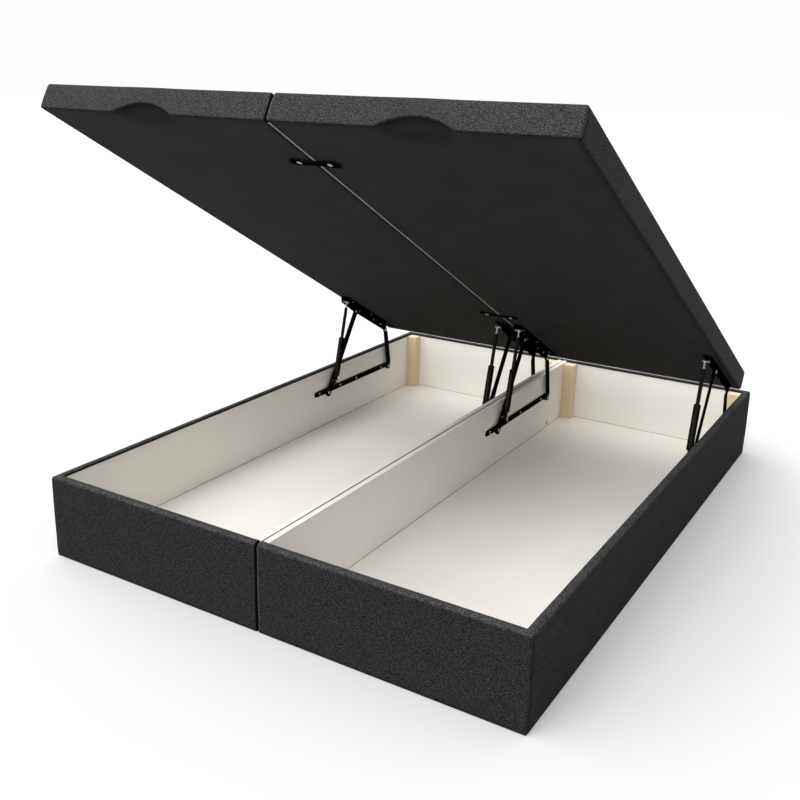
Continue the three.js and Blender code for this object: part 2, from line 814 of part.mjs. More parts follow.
for (const { name, sign } of sides) {
  bed.add(
    toMesh(`base_cover_${name}`, baseCover(sign), charcoalFabric),
    toMesh(`foot_panel_${name}`, endPanel(sign, -1), whiteBoard),
    toMesh(`head_panel_${name}`, endPanel(sign, 1), whiteBoard),
    toMesh(
      `side_panel_${name}`,
      sideBox(sign, panelInnerX, panelOuterX, -roomEndY, roomEndY, baseUnderside, panelTop),
      whiteBoard,
    ),
    toMesh(`divider_${name}`, divider(sign), whiteBoard),
    toMesh(`floor_board_${name}`, floorBoard(sign), whiteBoard),
    toMesh(`corner_post_${name}_inner`, cornerPost(sign, 'inner'), pine),
    toMesh(`corner_post_${name}_outer`, cornerPost(sign, 'outer'), pine),
  );
  lid.add(
    toMesh(`lid_cover_${name}`, lidCover(sign), charcoalFabric),
    toMesh(`lid_lining_${name}`, lidLining(sign), blackLining),
    toMesh(`lid_deck_${name}`, lidDeck(sign), rawBoard),
    toMesh(`lid_frame_${name}`, lidFrame(sign), pine),
  );
  for (const [corner, glideX, glideY] of [
    ['foot_inner', seamFace + glideInset, -halfLength + glideInset],
    ['foot_outer', halfWidth - glideInset, -halfLength + glideInset],
    ['head_inner', seamFace + glideInset, halfLength - glideInset],
    ['head_outer', halfWidth - glideInset, halfLength - glideInset],
  ]) {
    const foot = toMesh(`glide_${name}_${corner}`, glide(), blackPlastic);
    foot.position.set(sign * glideX, glideY, 0);
    bed.add(foot);
  }
}

for (const place of boltPlaces) {
  bed.add(toMesh(place.name, connectorBolt(place), brightSteel));
}

lid.add(
  toMesh('link_plate_rear', linkPlate(rearLinkFromHead), blackSteel),
  toMesh('link_plate_front', linkPlate(lidLength - frontLinkFromFoot), blackSteel),
);

for (const { name, wallX, inward } of mechanismPlaces) {
  const { frontLower, rearLower, open } = linkage;
  const plate = toMesh(`lower_plate_${name}`, lowerPlate(inward), blackSteel);
  plate.position.x = wallX;
  const bracket = toMesh(`upper_bracket_${name}`, upperBracket(inward), blackSteel);
  bracket.position.x = wallX;
  lid.add(bracket);
  bed.add(
    plate,
    placed(toMesh(`front_arm_${name}`, frontArm(inward), blackSteel), wallX, frontLower, open.frontAngle),
    placed(toMesh(`rear_arm_${name}`, rearArm(inward), blackSteel), wallX, rearLower, open.rearAngle),
    placed(toMesh(`gas_cylinder_${name}`, gasCylinder(inward), blackSteel), wallX, open.strutFoot, open.strutAngle),
    placed(toMesh(`gas_rod_${name}`, gasRod(inward), brightSteel), wallX, open.strutFoot, open.strutAngle),
  );
}

export default bed;
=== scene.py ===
# %% [markdown]
# # An ottoman bed with its lid raised
#
# The bed is a padded box in two halves with storage inside. A lid in two halves rises over it
# on four steel lift mechanisms with gas struts. The frame of the bed, with every board, arm and
# hinge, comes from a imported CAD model. This lesson dresses it: cloth, lining, wood, boards,
# oiled steel and screws, then light and a camera.
#
# Everything is in metres. X runs across the bed, Y from the foot to the head, Z up.

import json
import math

import bmesh
import bpy
import numpy as np
from mathutils import Matrix


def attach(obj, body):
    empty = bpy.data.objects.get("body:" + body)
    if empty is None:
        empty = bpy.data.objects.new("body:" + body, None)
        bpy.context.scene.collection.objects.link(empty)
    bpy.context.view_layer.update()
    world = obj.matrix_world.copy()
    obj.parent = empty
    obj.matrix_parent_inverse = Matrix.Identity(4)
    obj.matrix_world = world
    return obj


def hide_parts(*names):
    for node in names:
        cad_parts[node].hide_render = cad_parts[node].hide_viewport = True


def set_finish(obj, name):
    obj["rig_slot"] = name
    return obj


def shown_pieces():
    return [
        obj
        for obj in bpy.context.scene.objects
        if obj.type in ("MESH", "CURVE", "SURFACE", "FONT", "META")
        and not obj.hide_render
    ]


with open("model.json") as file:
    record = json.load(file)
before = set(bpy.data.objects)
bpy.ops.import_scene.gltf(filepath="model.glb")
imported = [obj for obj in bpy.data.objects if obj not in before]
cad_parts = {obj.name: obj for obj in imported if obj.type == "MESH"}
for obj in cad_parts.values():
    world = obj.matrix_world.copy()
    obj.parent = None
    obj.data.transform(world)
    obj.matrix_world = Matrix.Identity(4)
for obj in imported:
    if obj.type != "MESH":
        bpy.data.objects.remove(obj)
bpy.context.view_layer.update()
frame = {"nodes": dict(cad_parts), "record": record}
scene = bpy.context.scene

# %% [markdown]
# ## The camera
#
# The photograph was taken from the foot end, a little to the right and above, with a normal
# lens. The camera's place and turn were worked out from the straight edges of the bed. It looks
# straight down first: it is rolled, raised by 90 degrees less its elevation, then turned by its
# azimuth.

# %% Camera
CAMERA_PLACE = (1.43387, -2.69662, 1.38507)
CAMERA_AZIMUTH, CAMERA_ELEVATION, CAMERA_ROLL = np.radians([31.1395, 16.8173, 1.2545])
CAMERA_LENS, SENSOR_WIDTH, CAMERA_SHIFT_Y = 44.03, 36.0, -0.04375

camera_data = bpy.data.cameras.new("camera")
camera_data.lens = CAMERA_LENS
camera_data.sensor_width = SENSOR_WIDTH
camera_data.shift_y = CAMERA_SHIFT_Y
camera = bpy.data.objects.new("camera", camera_data)
scene.collection.objects.link(camera)
camera.matrix_world = (
    Matrix.Translation(CAMERA_PLACE)
    @ Matrix.Rotation(CAMERA_AZIMUTH, 4, "Z")
    @ Matrix.Rotation(math.pi / 2 - CAMERA_ELEVATION, 4, "X")
    @ Matrix.Rotation(CAMERA_ROLL, 4, "Z")
)
scene.camera = camera
print("camera at", np.round(CAMERA_PLACE, 2))

# %% [markdown]
# ## Meshes from grids of points
#
# Each new piece is a surface given by numpy: a grid of points where point (i, j) joins its
# neighbours (i + 1, j) and (i, j + 1). A grid also carries cloth coordinates, which say in
# metres where a point lies on the flat cloth, so that a weave follows the surface, and a value
# of painted light and tone: from 0 to 1 it darkens the cloth's colour, as painted shade on the
# upholstery and lining and as the seam tape's own dark tone, and below 0 it lightens it as a
# painted highlight. Grids that meet share their points.

# %% From grids to a mesh
SAME_POINT = 1e-6


def grid_quads(rows, columns, start, flip):
    """Corners of the squares between grid lines: (i, j), (i + 1, j), (i + 1, j + 1), (i, j + 1)."""
    index = start + np.arange(rows * columns).reshape(rows, columns)
    quads = np.stack([index[:-1, :-1], index[1:, :-1], index[1:, 1:], index[:-1, 1:]], axis=-1)
    quads = quads.reshape(-1, 4)
    return quads[:, ::-1] if flip else quads


def mesh_object(name, patches, flip=False, closed=False):
    """One mesh from patches of (points, cloth coordinates, painted light and tone). Points that
    coincide become one, and a square with two corners on one point becomes a triangle. The faces of
    closed bodies are turned outward at the end."""
    points, cloth, crease = (
        np.concatenate([patch[part].reshape(-1, size) for patch in patches])
        for part, size in enumerate((3, 2, 1))
    )
    starts = np.cumsum([0] + [patch[2].size for patch in patches[:-1]])
    quads = np.concatenate([
        grid_quads(*patch[2].shape, start, flip) for patch, start in zip(patches, starts)
    ])
    keys = np.round(points / SAME_POINT).astype(np.int64)
    _, first, merged = np.unique(keys, axis=0, return_index=True, return_inverse=True)
    corners = merged.reshape(-1)[quads]
    keep = corners != np.roll(corners, 1, axis=1)
    keep &= (keep.sum(axis=1) >= 3)[:, None]
    totals = keep.sum(axis=1)
    totals = totals[totals > 0]
    mesh = bpy.data.meshes.new(name)
    mesh.vertices.add(len(first))
    mesh.vertices.foreach_set("co", points[first].astype(np.float32).ravel())
    mesh.loops.add(int(keep.sum()))
    mesh.loops.foreach_set("vertex_index", corners[keep].astype(np.int32))
    mesh.polygons.add(len(totals))
    mesh.polygons.foreach_set("loop_start", (np.cumsum(totals) - totals).astype(np.int32))
    mesh.polygons.foreach_set("use_smooth", np.full(len(totals), True))
    mesh.update(calc_edges=True)
    uv_layer = mesh.uv_layers.new(name="cloth")
    uv_layer.data.foreach_set("uv", cloth[quads[keep]].astype(np.float32).ravel())
    light_and_tone_layer = mesh.attributes.new("crease", "FLOAT", "POINT")
    light_and_tone_layer.data.foreach_set("value", crease[first].astype(np.float32).ravel())
    if closed:
        body = bmesh.new()
        body.from_mesh(mesh)
        bmesh.ops.recalc_face_normals(body, faces=body.faces)
        body.to_mesh(mesh)
        body.free()
    made = bpy.data.objects.new(name, mesh)
    scene.collection.objects.link(made)
    return made


def bare(points):
    """A patch for a hard piece: its points, with empty cloth coordinates and no painted light or tone.
    """
    return points, np.zeros(points.shape[:2] + (2,)), np.zeros(points.shape[:2])


def fit(piece, body, slot, replaced=None):
    """Lets a piece ride on its body, name its finish and stand for a CAD node."""
    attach(piece, body)
    if replaced:
        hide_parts(replaced)
    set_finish(piece, slot)


def thicken(piece, thickness):
    """Gives a sheet its thickness, inward from the surface that was drawn."""
    wall = piece.modifiers.new("cloth thickness", "SOLIDIFY")
    wall.thickness = thickness
    wall.offset = -1


# %% Curves, steps and noise
LATTICE = 64
CORNER_STEPS = 9
FINE_STEP, COARSE_STEP, STEP_GROWTH = 0.0012, 0.011, 1.22


def soft_noise(across, along, cell, seed):
    """Smooth hills between -1 and 1: random heights on a lattice of the cell's size, joined by
    cosine curves in both directions."""
    heights = np.random.default_rng(seed).uniform(-1, 1, (LATTICE, LATTICE))
    u, v = np.broadcast_arrays(across / cell, along / cell)
    iu, iv = np.floor(u).astype(int), np.floor(v).astype(int)
    fu, fv = (1 - np.cos((u - iu) * math.pi)) / 2, (1 - np.cos((v - iv) * math.pi)) / 2
    low, high = (
        heights[iu % LATTICE, (iv + step) % LATTICE] * (1 - fu)
        + heights[(iu + 1) % LATTICE, (iv + step) % LATTICE] * fu
        for step in (0, 1)
    )
    return low * (1 - fv) + high * fv


def smooth_step(value, low, high):
    """0 below low, 1 above high, and 3t² - 2t³ in between."""
    t = np.clip((value - low) / (high - low), 0, 1)
    return t * t * (3 - 2 * t)


def bell(distance, width):
    """1 at no distance, falling off as e to the power of -(distance / width)²."""
    return np.exp(-((distance / width) ** 2))


def arc(centre, radius, start, end, steps):
    """Points (a, b) = centre + radius · (cos angle, sin angle), for even angles start to end."""
    angle = np.radians(np.linspace(start, end, steps))
    return np.stack([centre[0] + radius * np.cos(angle), centre[1] + radius * np.sin(angle)], axis=1)


def line(start, end, steps, ends=True):
    """Evenly spaced points from start to end; without its ends where its neighbours have them."""
    t = np.linspace(0, 1, steps) if ends else np.linspace(0, 1, steps + 2)[1:-1]
    return np.array(start) + t[:, None] * (np.array(end) - np.array(start))


def graded(length, coarse):
    """Fractions from 0 to 1 along a straight run: fine steps near both ends, growing to coarse."""
    steps = np.minimum(FINE_STEP * STEP_GROWTH ** np.maximum(np.arange(200) - 9, 0), coarse)
    from_end = np.concatenate([[0], np.cumsum(steps)])
    half = from_end[from_end < length / 2 - coarse / 2]
    return np.concatenate([half, [length / 2], length - half[::-1]]) / length


def corner(x, y, radius, start):
    """A quarter turn in plan: at each inset its own centre and radius, from the start angle on."""
    angle = np.radians(np.linspace(start, start + 90, CORNER_STEPS))[:, None]
    return np.stack([x + radius * np.cos(angle), y + radius * np.sin(angle)], axis=-1)


def joined(corners, lengths, short_step=COARSE_STEP):
    """Plan rows of the corners, with a straight run of graded steps from each one to the next."""
    rows = [corners[0]]
    for before, after, length in zip(corners, corners[1:], lengths):
        t = graded(length, short_step if length < 1 else COARSE_STEP)[1:-1, None, None]
        rows += [before[-1] * (1 - t) + after[0] * t, after]
    return rows


def run_length(points):
    """Distance along a line of points, from its first point to each."""
    return np.concatenate([[0], np.cumsum(np.linalg.norm(np.diff(points, axis=0), axis=-1))])


def carried(section, plan, column):
    """A section of (inset, height) carried along plan rows: the points, the distance along the
    given column, the distance round the section, and the inset."""
    shape = plan.shape[:2]
    points = np.concatenate([plan, np.broadcast_to(section[:, 1], shape)[..., None]], axis=-1)
    along = np.broadcast_to(run_length(points[:, column])[:, None], shape)
    around, inset = (np.broadcast_to(v, shape) for v in (run_length(section), section[:, 0]))
    return points, along, around, inset


def outward(points):
    """Unit directions out of a grid's surface, from the cross product of its grid directions."""
    normal = np.cross(np.gradient(points, axis=0), np.gradient(points, axis=1))
    return normal / np.maximum(np.linalg.norm(normal, axis=-1, keepdims=True), 1e-12)


def hills(along, around, layers, seed):
    """The sum of several soft noises, each with its own height and cell."""
    return sum(
        height * soft_noise(along, around, cell, seed + n) for n, (height, cell) in enumerate(layers)
    )


# %% [markdown]
# ## Sizes that the dressing shares with the frame

# %% Sizes
HALF_WIDTH = 0.750
HALF_LENGTH = 1.000
BASE_TOP = 0.250
SEAM_FACE = 0.001
LID_THICKNESS = 0.070
LID_LENGTH = 2.000
LID_ANGLE = math.radians(28.9)
LID_REAR_EDGE = np.array([0.0, 0.815866, 0.303490])
SIDES = (("left", -1.0), ("right", 1.0))


def raised(points):
    """Turns lid points, with the lid flat, down by the lid's angle about its rear edge, and moves
    them there: y' = y · cos + z · sin, z' = -y · sin + z · cos, then plus the edge's place."""
    cos, sin = math.cos(LID_ANGLE), math.sin(LID_ANGLE)
    x, y, z = np.moveaxis(points, -1, 0)
    return np.stack([x, y * cos + z * sin, -y * sin + z * cos], axis=-1) + LID_REAR_EDGE


def mirrored(points, sign):
    """The same points on the other side of the bed where sign is -1."""
    return points * np.array([sign, 1.0, 1.0])


# %% [markdown]
# ## Upholstery round the base
#
# On the real bed a padded cloth is wrapped round the boards: up the outside, over their tops and
# a little way down inside, where it is stapled. It could be a box with rounded edges, but cloth
# shows its making: it swells between its edges, its folds waver, and where two walls meet it is
# closed in a narrow stitched seam. So one outline, the cloth's cross-section, is carried along
# the walls, and small soft hills are added along the cloth's own outward direction.

# %% The cloth's cross-section and its way round the base
ROLL_RADIUS, ROLL_CROWN = 0.011, 0.0001
RETURN_DEPTH, RETURN_INSET, RETURN_RADIUS = 0.008, 0.0241, 0.004
SKIRT_LOW, TURN_UNDER = 0.0006, 0.003
WRAP_END = 0.0223
CORNER_RADIUS = 0.0045
SEAM_EDGE, SEAM_WRAP_INSET, SEAM_RADIUS = 0.0022, 0.0174, 0.005
SEAM_ROLL, SEAM_SPREAD = 0.18, 0.08
SHARPEST = 0.0006


def base_section():
    """Cross-section as (inset from the outer face, height): under edge, wall, top, lip, return."""
    top, radius, small, under = BASE_TOP, ROLL_RADIUS, RETURN_RADIUS, SKIRT_LOW
    lip_end = RETURN_INSET - small
    crown = line((radius, top), (lip_end, top), 5, ends=False)
    crown[:, 1] += ROLL_CROWN * np.sin(np.linspace(0, math.pi, 7)[1:-1])
    return np.concatenate([
        line((TURN_UNDER + 0.002, under), (TURN_UNDER, under), 2),
        arc((TURN_UNDER, under + TURN_UNDER), TURN_UNDER, 270, 180, 5)[1:],
        line((0, under + TURN_UNDER), (0, top - radius), 26, ends=False),
        arc((radius, top - radius), radius, 180, 90, 11),
        crown,
        arc((lip_end, top - small), small, 90, 0, 6),
        line((RETURN_INSET, top - small), (RETURN_INSET, top - RETURN_DEPTH), 3)[1:],
    ])


def wall_path(inset):
    """Plan points round the foot, one long side and the head, at each inset. Each corner is an arc
    whose radius shrinks with the inset, and straight runs join them. At the seam the cloth closes
    tightly round the board's end, so there it draws back less than elsewhere."""
    radius = np.maximum(CORNER_RADIUS - inset, SHARPEST)
    seam_radius = np.maximum(SEAM_RADIUS - inset, SHARPEST)
    on_edge = SEAM_ROLL * np.minimum(inset, ROLL_RADIUS)
    on_edge = on_edge + SEAM_SPREAD * np.maximum(inset - ROLL_RADIUS, 0)
    seam_x = SEAM_EDGE + np.where(inset > WRAP_END, SEAM_WRAP_INSET, on_edge)
    side_x, end_y = HALF_WIDTH - inset, HALF_LENGTH - inset
    start_y = np.minimum(HALF_LENGTH - WRAP_END - SHARPEST, end_y - 2 * SHARPEST)
    corners = [
        corner(seam_x + seam_radius, -end_y + seam_radius, seam_radius, 180),
        corner(side_x - radius, -end_y + radius, radius, 270),
        corner(side_x - radius, end_y - radius, radius, 0),
        corner(seam_x + seam_radius, end_y - seam_radius, seam_radius, 90),
    ]
    foot, head = (np.stack([seam_x, y], axis=-1)[None] for y in (-start_y, start_y))
    rows = joined(corners, (HALF_WIDTH, 2 * HALF_LENGTH, HALF_WIDTH))
    return np.concatenate([foot, *rows, head])


# %% [markdown]
# The corner seam lies just past the corner, on the long side's wall. The cloth dips there by
# about two millimetres, and the dip's depth falls off as a bell curve.

# %% Swell, waver and corner seams of the base cloth
CLOTH_THICKNESS = 0.0012
BASE_SWELL = 0.0011
BASE_HILLS = ((0.0005, 0.11), (0.00022, 0.034))
WAVER, WAVER_CELL = 0.0003, 0.06
WALL_COLUMN = 12
SEAM_DIP, SEAM_WIDTH, SEAM_PAST_CORNER = 0.0022, 0.0021, 0.0035
SWELL_FROM, SWELL_TO = (0.004, 0.02), (BASE_TOP - 0.012, BASE_TOP - 0.001)
DIP_TO, WAVER_FROM = (BASE_TOP - 0.012, BASE_TOP - 0.004), (0.235, 0.249)
# Painted shade at the floor edge, the middle seam and the corner seams; painted highlight along the top
# roll and beside the middle seam.
FLOOR_SHADE, MIDDLE_SHADE = (0.003, 0.012), (SEAM_EDGE + 0.0012, SEAM_EDGE + 0.0040)
DIP_SHADE_DEPTH, FLOOR_SHADOW_DEPTH, MIDDLE_SHADE_DEPTH = 0.85, 0.5, 1.2
DARKEST, FAINTEST = 1.3, 0.05
HIGHLIGHT_FROM, HIGHLIGHT_TO = (BASE_TOP - 0.0090, BASE_TOP - 0.0012), (0.0225, 0.0240)
HIGHLIGHT_LEVEL, HIGHLIGHT_SPREAD, HIGHLIGHT_CELL = 0.88, 0.18, 0.012
BY_MIDDLE, BY_MIDDLE_WIDTH, BY_MIDDLE_HIGHLIGHT = 0.0052, 0.0011, 1.1


def base_cloth(sign, seed):
    """The section carried round the base, and moved outward by a swell that is sin(pi · height /
    wall height), small hills, and a bell-shaped dip at the corner seams. Painted shade darkens the
    corner seams, the middle seam and the lowest edge by the floor. A painted highlight lightens the
    top roll and, on the right half, a line beside the middle seam."""
    section = base_section()
    plan = wall_path(section[:, 0])
    points, along, around, inset = carried(section, plan, WALL_COLUMN)
    x, y, z = np.moveaxis(points, -1, 0)
    on_wall = smooth_step(z, *SWELL_FROM) * (1 - smooth_step(z, *SWELL_TO))
    past_corner = np.abs(np.abs(y) - (HALF_LENGTH - CORNER_RADIUS - SEAM_PAST_CORNER))
    dip = np.where(x > HALF_WIDTH - CORNER_RADIUS, bell(past_corner, SEAM_WIDTH), 0.0)
    dip *= 1 - smooth_step(z, *DIP_TO)
    swell = BASE_SWELL * np.sin(np.clip(z / BASE_TOP, 0, 1) * math.pi) * on_wall
    waver = WAVER * soft_noise(along, around * 0, WAVER_CELL, seed + 2)
    waver = waver * smooth_step(z, *WAVER_FROM)
    move = swell + hills(along, around, BASE_HILLS, seed) * on_wall + waver - SEAM_DIP * dip
    points = points + outward(points) * move[..., None]
    # Painted shade: darker in the corner seams' dips, by the middle seam and along the lowest edge,
    # where the floor shades it.
    floor_shadow, middle_seam_shade = 1 - smooth_step(z, *FLOOR_SHADE), 1 - smooth_step(x, *MIDDLE_SHADE)
    crease = DIP_SHADE_DEPTH * dip + FLOOR_SHADOW_DEPTH * floor_shadow + MIDDLE_SHADE_DEPTH * middle_seam_shade
    crease = np.clip(crease, 0, DARKEST)
    # Painted highlight: lighter along the top roll, its strength varied by a noise, and on the right
    # half along a line beside the middle seam.
    painted_highlight = smooth_step(z, *HIGHLIGHT_FROM) * (1 - smooth_step(inset, *HIGHLIGHT_TO))
    highlight_noise = soft_noise(along, around, HIGHLIGHT_CELL, seed + 3)
    painted_highlight = painted_highlight * (HIGHLIGHT_LEVEL + HIGHLIGHT_SPREAD * highlight_noise)
    if sign > 0:
        middle_highlight = bell(x - SEAM_EDGE - BY_MIDDLE, BY_MIDDLE_WIDTH)
        painted_highlight = np.maximum(painted_highlight, BY_MIDDLE_HIGHLIGHT * middle_highlight)
    crease = np.where(crease > FAINTEST, crease, -painted_highlight)
    return mirrored(points, sign), np.stack([along, around], axis=-1), crease


def upholstered(name, patches, sign, body, replaced):
    """A padded piece of charcoal cloth."""
    piece = mesh_object(name, patches, flip=sign < 0)
    thicken(piece, CLOTH_THICKNESS)
    fit(piece, body, "charcoal_fabric", replaced)
    print(name, len(piece.data.polygons), "faces")


for side_name, sign in SIDES:
    patch = base_cloth(sign, 11 if sign > 0 else 23)
    name = f"base_upholstery_{side_name}"
    upholstered(name, [patch], sign, "base", f"base_cover_{side_name}")

# %% [markdown]
# ## Upholstery of the lid
#
# Each half of the lid is a flat padded board with cloth over its top and its four sides. The
# cloth turns under and ends in a hem below the lining. At the foot end a shallow arch is scooped
# out of the lower edge for the hand. The same idea serves again: a cross-section carried round a
# rectangle. On the top the rings go on shrinking until they meet in the middle.

# %% Cross-section and rings of the lid cloth
LID_RADIUS, LID_CORNER_RADIUS = 0.007, 0.0078
HEM_INSET, HEM_RISE = 0.020, 0.0008
GRIP_WIDTH, GRIP_HEIGHT, GRIP_DEPTH, GRIP_CENTRE = 0.190, 0.028, 0.029, 0.385
GRIP_EASE, GRIP_REACH = 0.0022, 0.125
LID_STEP = 0.006
HALF_LID = (HALF_WIDTH - SEAM_FACE) / 2


def lid_section():
    """The side's cross-section as (inset, height): hem, lower edge, wall, upper edge."""
    top, radius = LID_THICKNESS, LID_RADIUS
    return np.concatenate([
        line((HEM_INSET, HEM_RISE), (radius + 0.002, HEM_RISE), 5),
        arc((radius, radius), radius, 270, 180, 9),
        line((0, radius), (0, top - radius), 9, ends=False),
        arc((radius, top - radius), radius, 180, 90, 9),
    ])


def lid_rings(inset):
    """Plan points round a lid half at each inset: four arcs joined by straight runs, closed."""
    radius = np.where(inset < HALF_LID - 0.001, SHARPEST, 0)
    radius = np.maximum(LID_CORNER_RADIUS - inset, radius)
    near = SEAM_EDGE + inset * (1 - (SEAM_EDGE - SEAM_FACE) / HALF_LID) + radius
    far = HALF_WIDTH - inset - radius
    front, rear = -LID_LENGTH + inset + radius, -inset - radius
    corners = [
        corner(near, front, radius, 180), corner(far, front, radius, 270),
        corner(far, rear, radius, 0), corner(near, rear, radius, 90),
    ]
    lengths = (HALF_WIDTH, LID_LENGTH, HALF_WIDTH, LID_LENGTH)
    return np.concatenate(joined(corners + [corners[0][:1]], lengths, LID_STEP))


def grip_rise(x):
    """Height of the hand grip's arch at x: a circle's arc, its ends eased into the edge."""
    radius = (GRIP_WIDTH ** 2 / 4 + GRIP_HEIGHT ** 2) / (2 * GRIP_HEIGHT)
    from_middle = np.abs(x) - GRIP_CENTRE
    height = np.sqrt(np.maximum(radius ** 2 - from_middle ** 2, 0)) - (radius - GRIP_HEIGHT)
    return (height + np.sqrt(height ** 2 + GRIP_EASE ** 2)) / 2 * (np.abs(from_middle) < GRIP_REACH)


def scooped(points):
    """Lifts the lower front edge by the arch. The lift fades with height up the front and with
    depth under the lid, so that the grip is a smooth hollow."""
    x, y, z = np.moveaxis(points, -1, 0)
    fade_depth = 1 - smooth_step(y + LID_LENGTH, 0.007, GRIP_DEPTH)
    fade_height = np.clip((LID_THICKNESS - z) / LID_THICKNESS, 0, 1) ** 0.9
    lift = grip_rise(x) * fade_depth * fade_height
    return points + np.stack([lift * 0, lift * 0, lift], axis=-1)


# %% The lid cloth
LID_SWELL = 0.0009
LID_HILLS = ((0.0005, 0.09), (0.0002, 0.03))
LID_COLUMN = 16
LID_SEAM_DIP, LID_SEAM_SIDE = 0.6 * SEAM_DIP, HALF_WIDTH - LID_RADIUS * 1.3
LID_DIP_TO = (LID_THICKNESS - 0.004, LID_THICKNESS - 0.0005)
LID_MIDDLE_SHADE, UNDER_SHADE = (SEAM_EDGE + 0.0010, SEAM_EDGE + 0.0036), (0.0012, 0.0030)
LID_DIP_SHADE_DEPTH, UNDER_SHADE_DEPTH = 0.8, 0.9
# Painted shade over the long side, and a painted highlight beside the middle seam.
SIDE_SHADE, SIDE_SHADE_FROM = 0.32, (HALF_WIDTH - 0.0050, HALF_WIDTH - 0.0015)
LID_BY_MIDDLE, LID_BY_MIDDLE_WIDTH, LID_BY_MIDDLE_HIGHLIGHT = 0.0048, 0.0010, 0.8
TOP_CROWN, TOP_CROWN_FROM = 0.0012, (LID_RADIUS, 0.06)
TOP_HILL, TOP_HILL_CELL = 0.0004, 0.16
TOP_INSETS = (0.018, 0.026, 0.038, 0.054, 0.075)


def lid_cloth(sign, seed):
    """The side's grid is the section round the rings, with a swell, hills and a dip at the two
    outer corners' seams. The top's grid is a set of rings that shrink to the middle line, slightly
    crowned. Painted shade darkens the corner seams, the middle seam, the turned-under edge and the
    long side; on the right half a painted highlight lightens a line beside the middle seam."""
    section = lid_section()
    plan = lid_rings(section[:, 0])
    points, along, around, inset = carried(section, plan, LID_COLUMN)
    x, y, z = np.moveaxis(points, -1, 0)
    on_wall = np.sin(np.clip(z / LID_THICKNESS, 0, 1) * math.pi) * (inset < LID_RADIUS)
    seam_y = LID_LENGTH / 2 - LID_RADIUS - SEAM_PAST_CORNER
    dip = bell(np.abs(np.abs(y + LID_LENGTH / 2) - seam_y), SEAM_WIDTH)
    dip = np.where(x > LID_SEAM_SIDE, dip, 0.0) * (1 - smooth_step(z, *LID_DIP_TO))
    move = on_wall * (LID_SWELL + hills(along, around, LID_HILLS, seed)) - LID_SEAM_DIP * dip
    points = points + outward(points) * move[..., None]
    points[-1] = points[0]
    points[:, -1, :2] = plan[:, -1]
    points[:, -1, 2] = LID_THICKNESS
    # Painted shade in the corner seams, by the middle seam, under the lower edge and over the long
    # side; painted highlight beside the middle seam on the right half.
    middle_seam_shade, under = 1 - smooth_step(x, *LID_MIDDLE_SHADE), 1 - smooth_step(z, *UNDER_SHADE)
    crease = LID_DIP_SHADE_DEPTH * dip + MIDDLE_SHADE_DEPTH * middle_seam_shade + UNDER_SHADE_DEPTH * under
    crease = np.clip(crease + SIDE_SHADE * smooth_step(x, *SIDE_SHADE_FROM), 0, DARKEST)
    if sign > 0:
        middle_highlight = bell(x - SEAM_EDGE - LID_BY_MIDDLE, LID_BY_MIDDLE_WIDTH)
        crease = np.where(crease > FAINTEST, crease, -LID_BY_MIDDLE_HIGHLIGHT * middle_highlight)
    side = scooped(points)

    rings = np.concatenate([
        LID_RADIUS + 0.0015 * np.arange(5), TOP_INSETS, np.linspace(0.1, HALF_LID, 12),
    ])
    top_plan = lid_rings(rings)
    x, y = np.moveaxis(top_plan, -1, 0)
    ramp = smooth_step(np.broadcast_to(rings, x.shape), *TOP_CROWN_FROM)
    hill = TOP_HILL * soft_noise(x + 2, y + 4, TOP_HILL_CELL, seed + 5)
    height = LID_THICKNESS + ramp * (TOP_CROWN + hill)
    top = np.concatenate([top_plan, height[..., None]], axis=-1)
    top[-1] = top[0]
    top[:, 0] = side[:, -1]
    return [
        (mirrored(raised(side), sign), np.stack([along, around], axis=-1), crease),
        (mirrored(raised(top), sign), np.stack([x, y], axis=-1), np.zeros(x.shape)),
    ]


for side_name, sign in SIDES:
    patches = lid_cloth(sign, 41 if sign > 0 else 57)
    name = f"lid_upholstery_{side_name}"
    upholstered(name, patches, sign, "lid", f"lid_cover_{side_name}")

# %% [markdown]
# ## Lining under the lid
#
# A thin black non-woven sheet is stretched over the underside and stapled on the hem. Stretched
# cloth is almost flat, yet each staple pulls a faint fan of ripples. The sheet also lines the
# hollow of the hand grip.

# %% The lining
LINING_INSET, LINING_SEAM_INSET = 0.0065, 0.0062
LINING_THICKNESS = 0.0006
LINING_RISE, LINING_MOST = 0.00025, 0.0006
LINING_HILL, LINING_HILL_CELL = 0.0002, 0.2
FINE_ROWS_END = 0.04
# Painted shade along the hem and in the grip's hollow.
HEM_SHADE_DEPTH, HEM_SHADE_REACH, BOWL_SHADE_DEPTH = 1.3, 0.004, 0.7
STAPLE_STEP = 0.055
RIPPLE, RIPPLE_REACH = 0.00011, 0.03


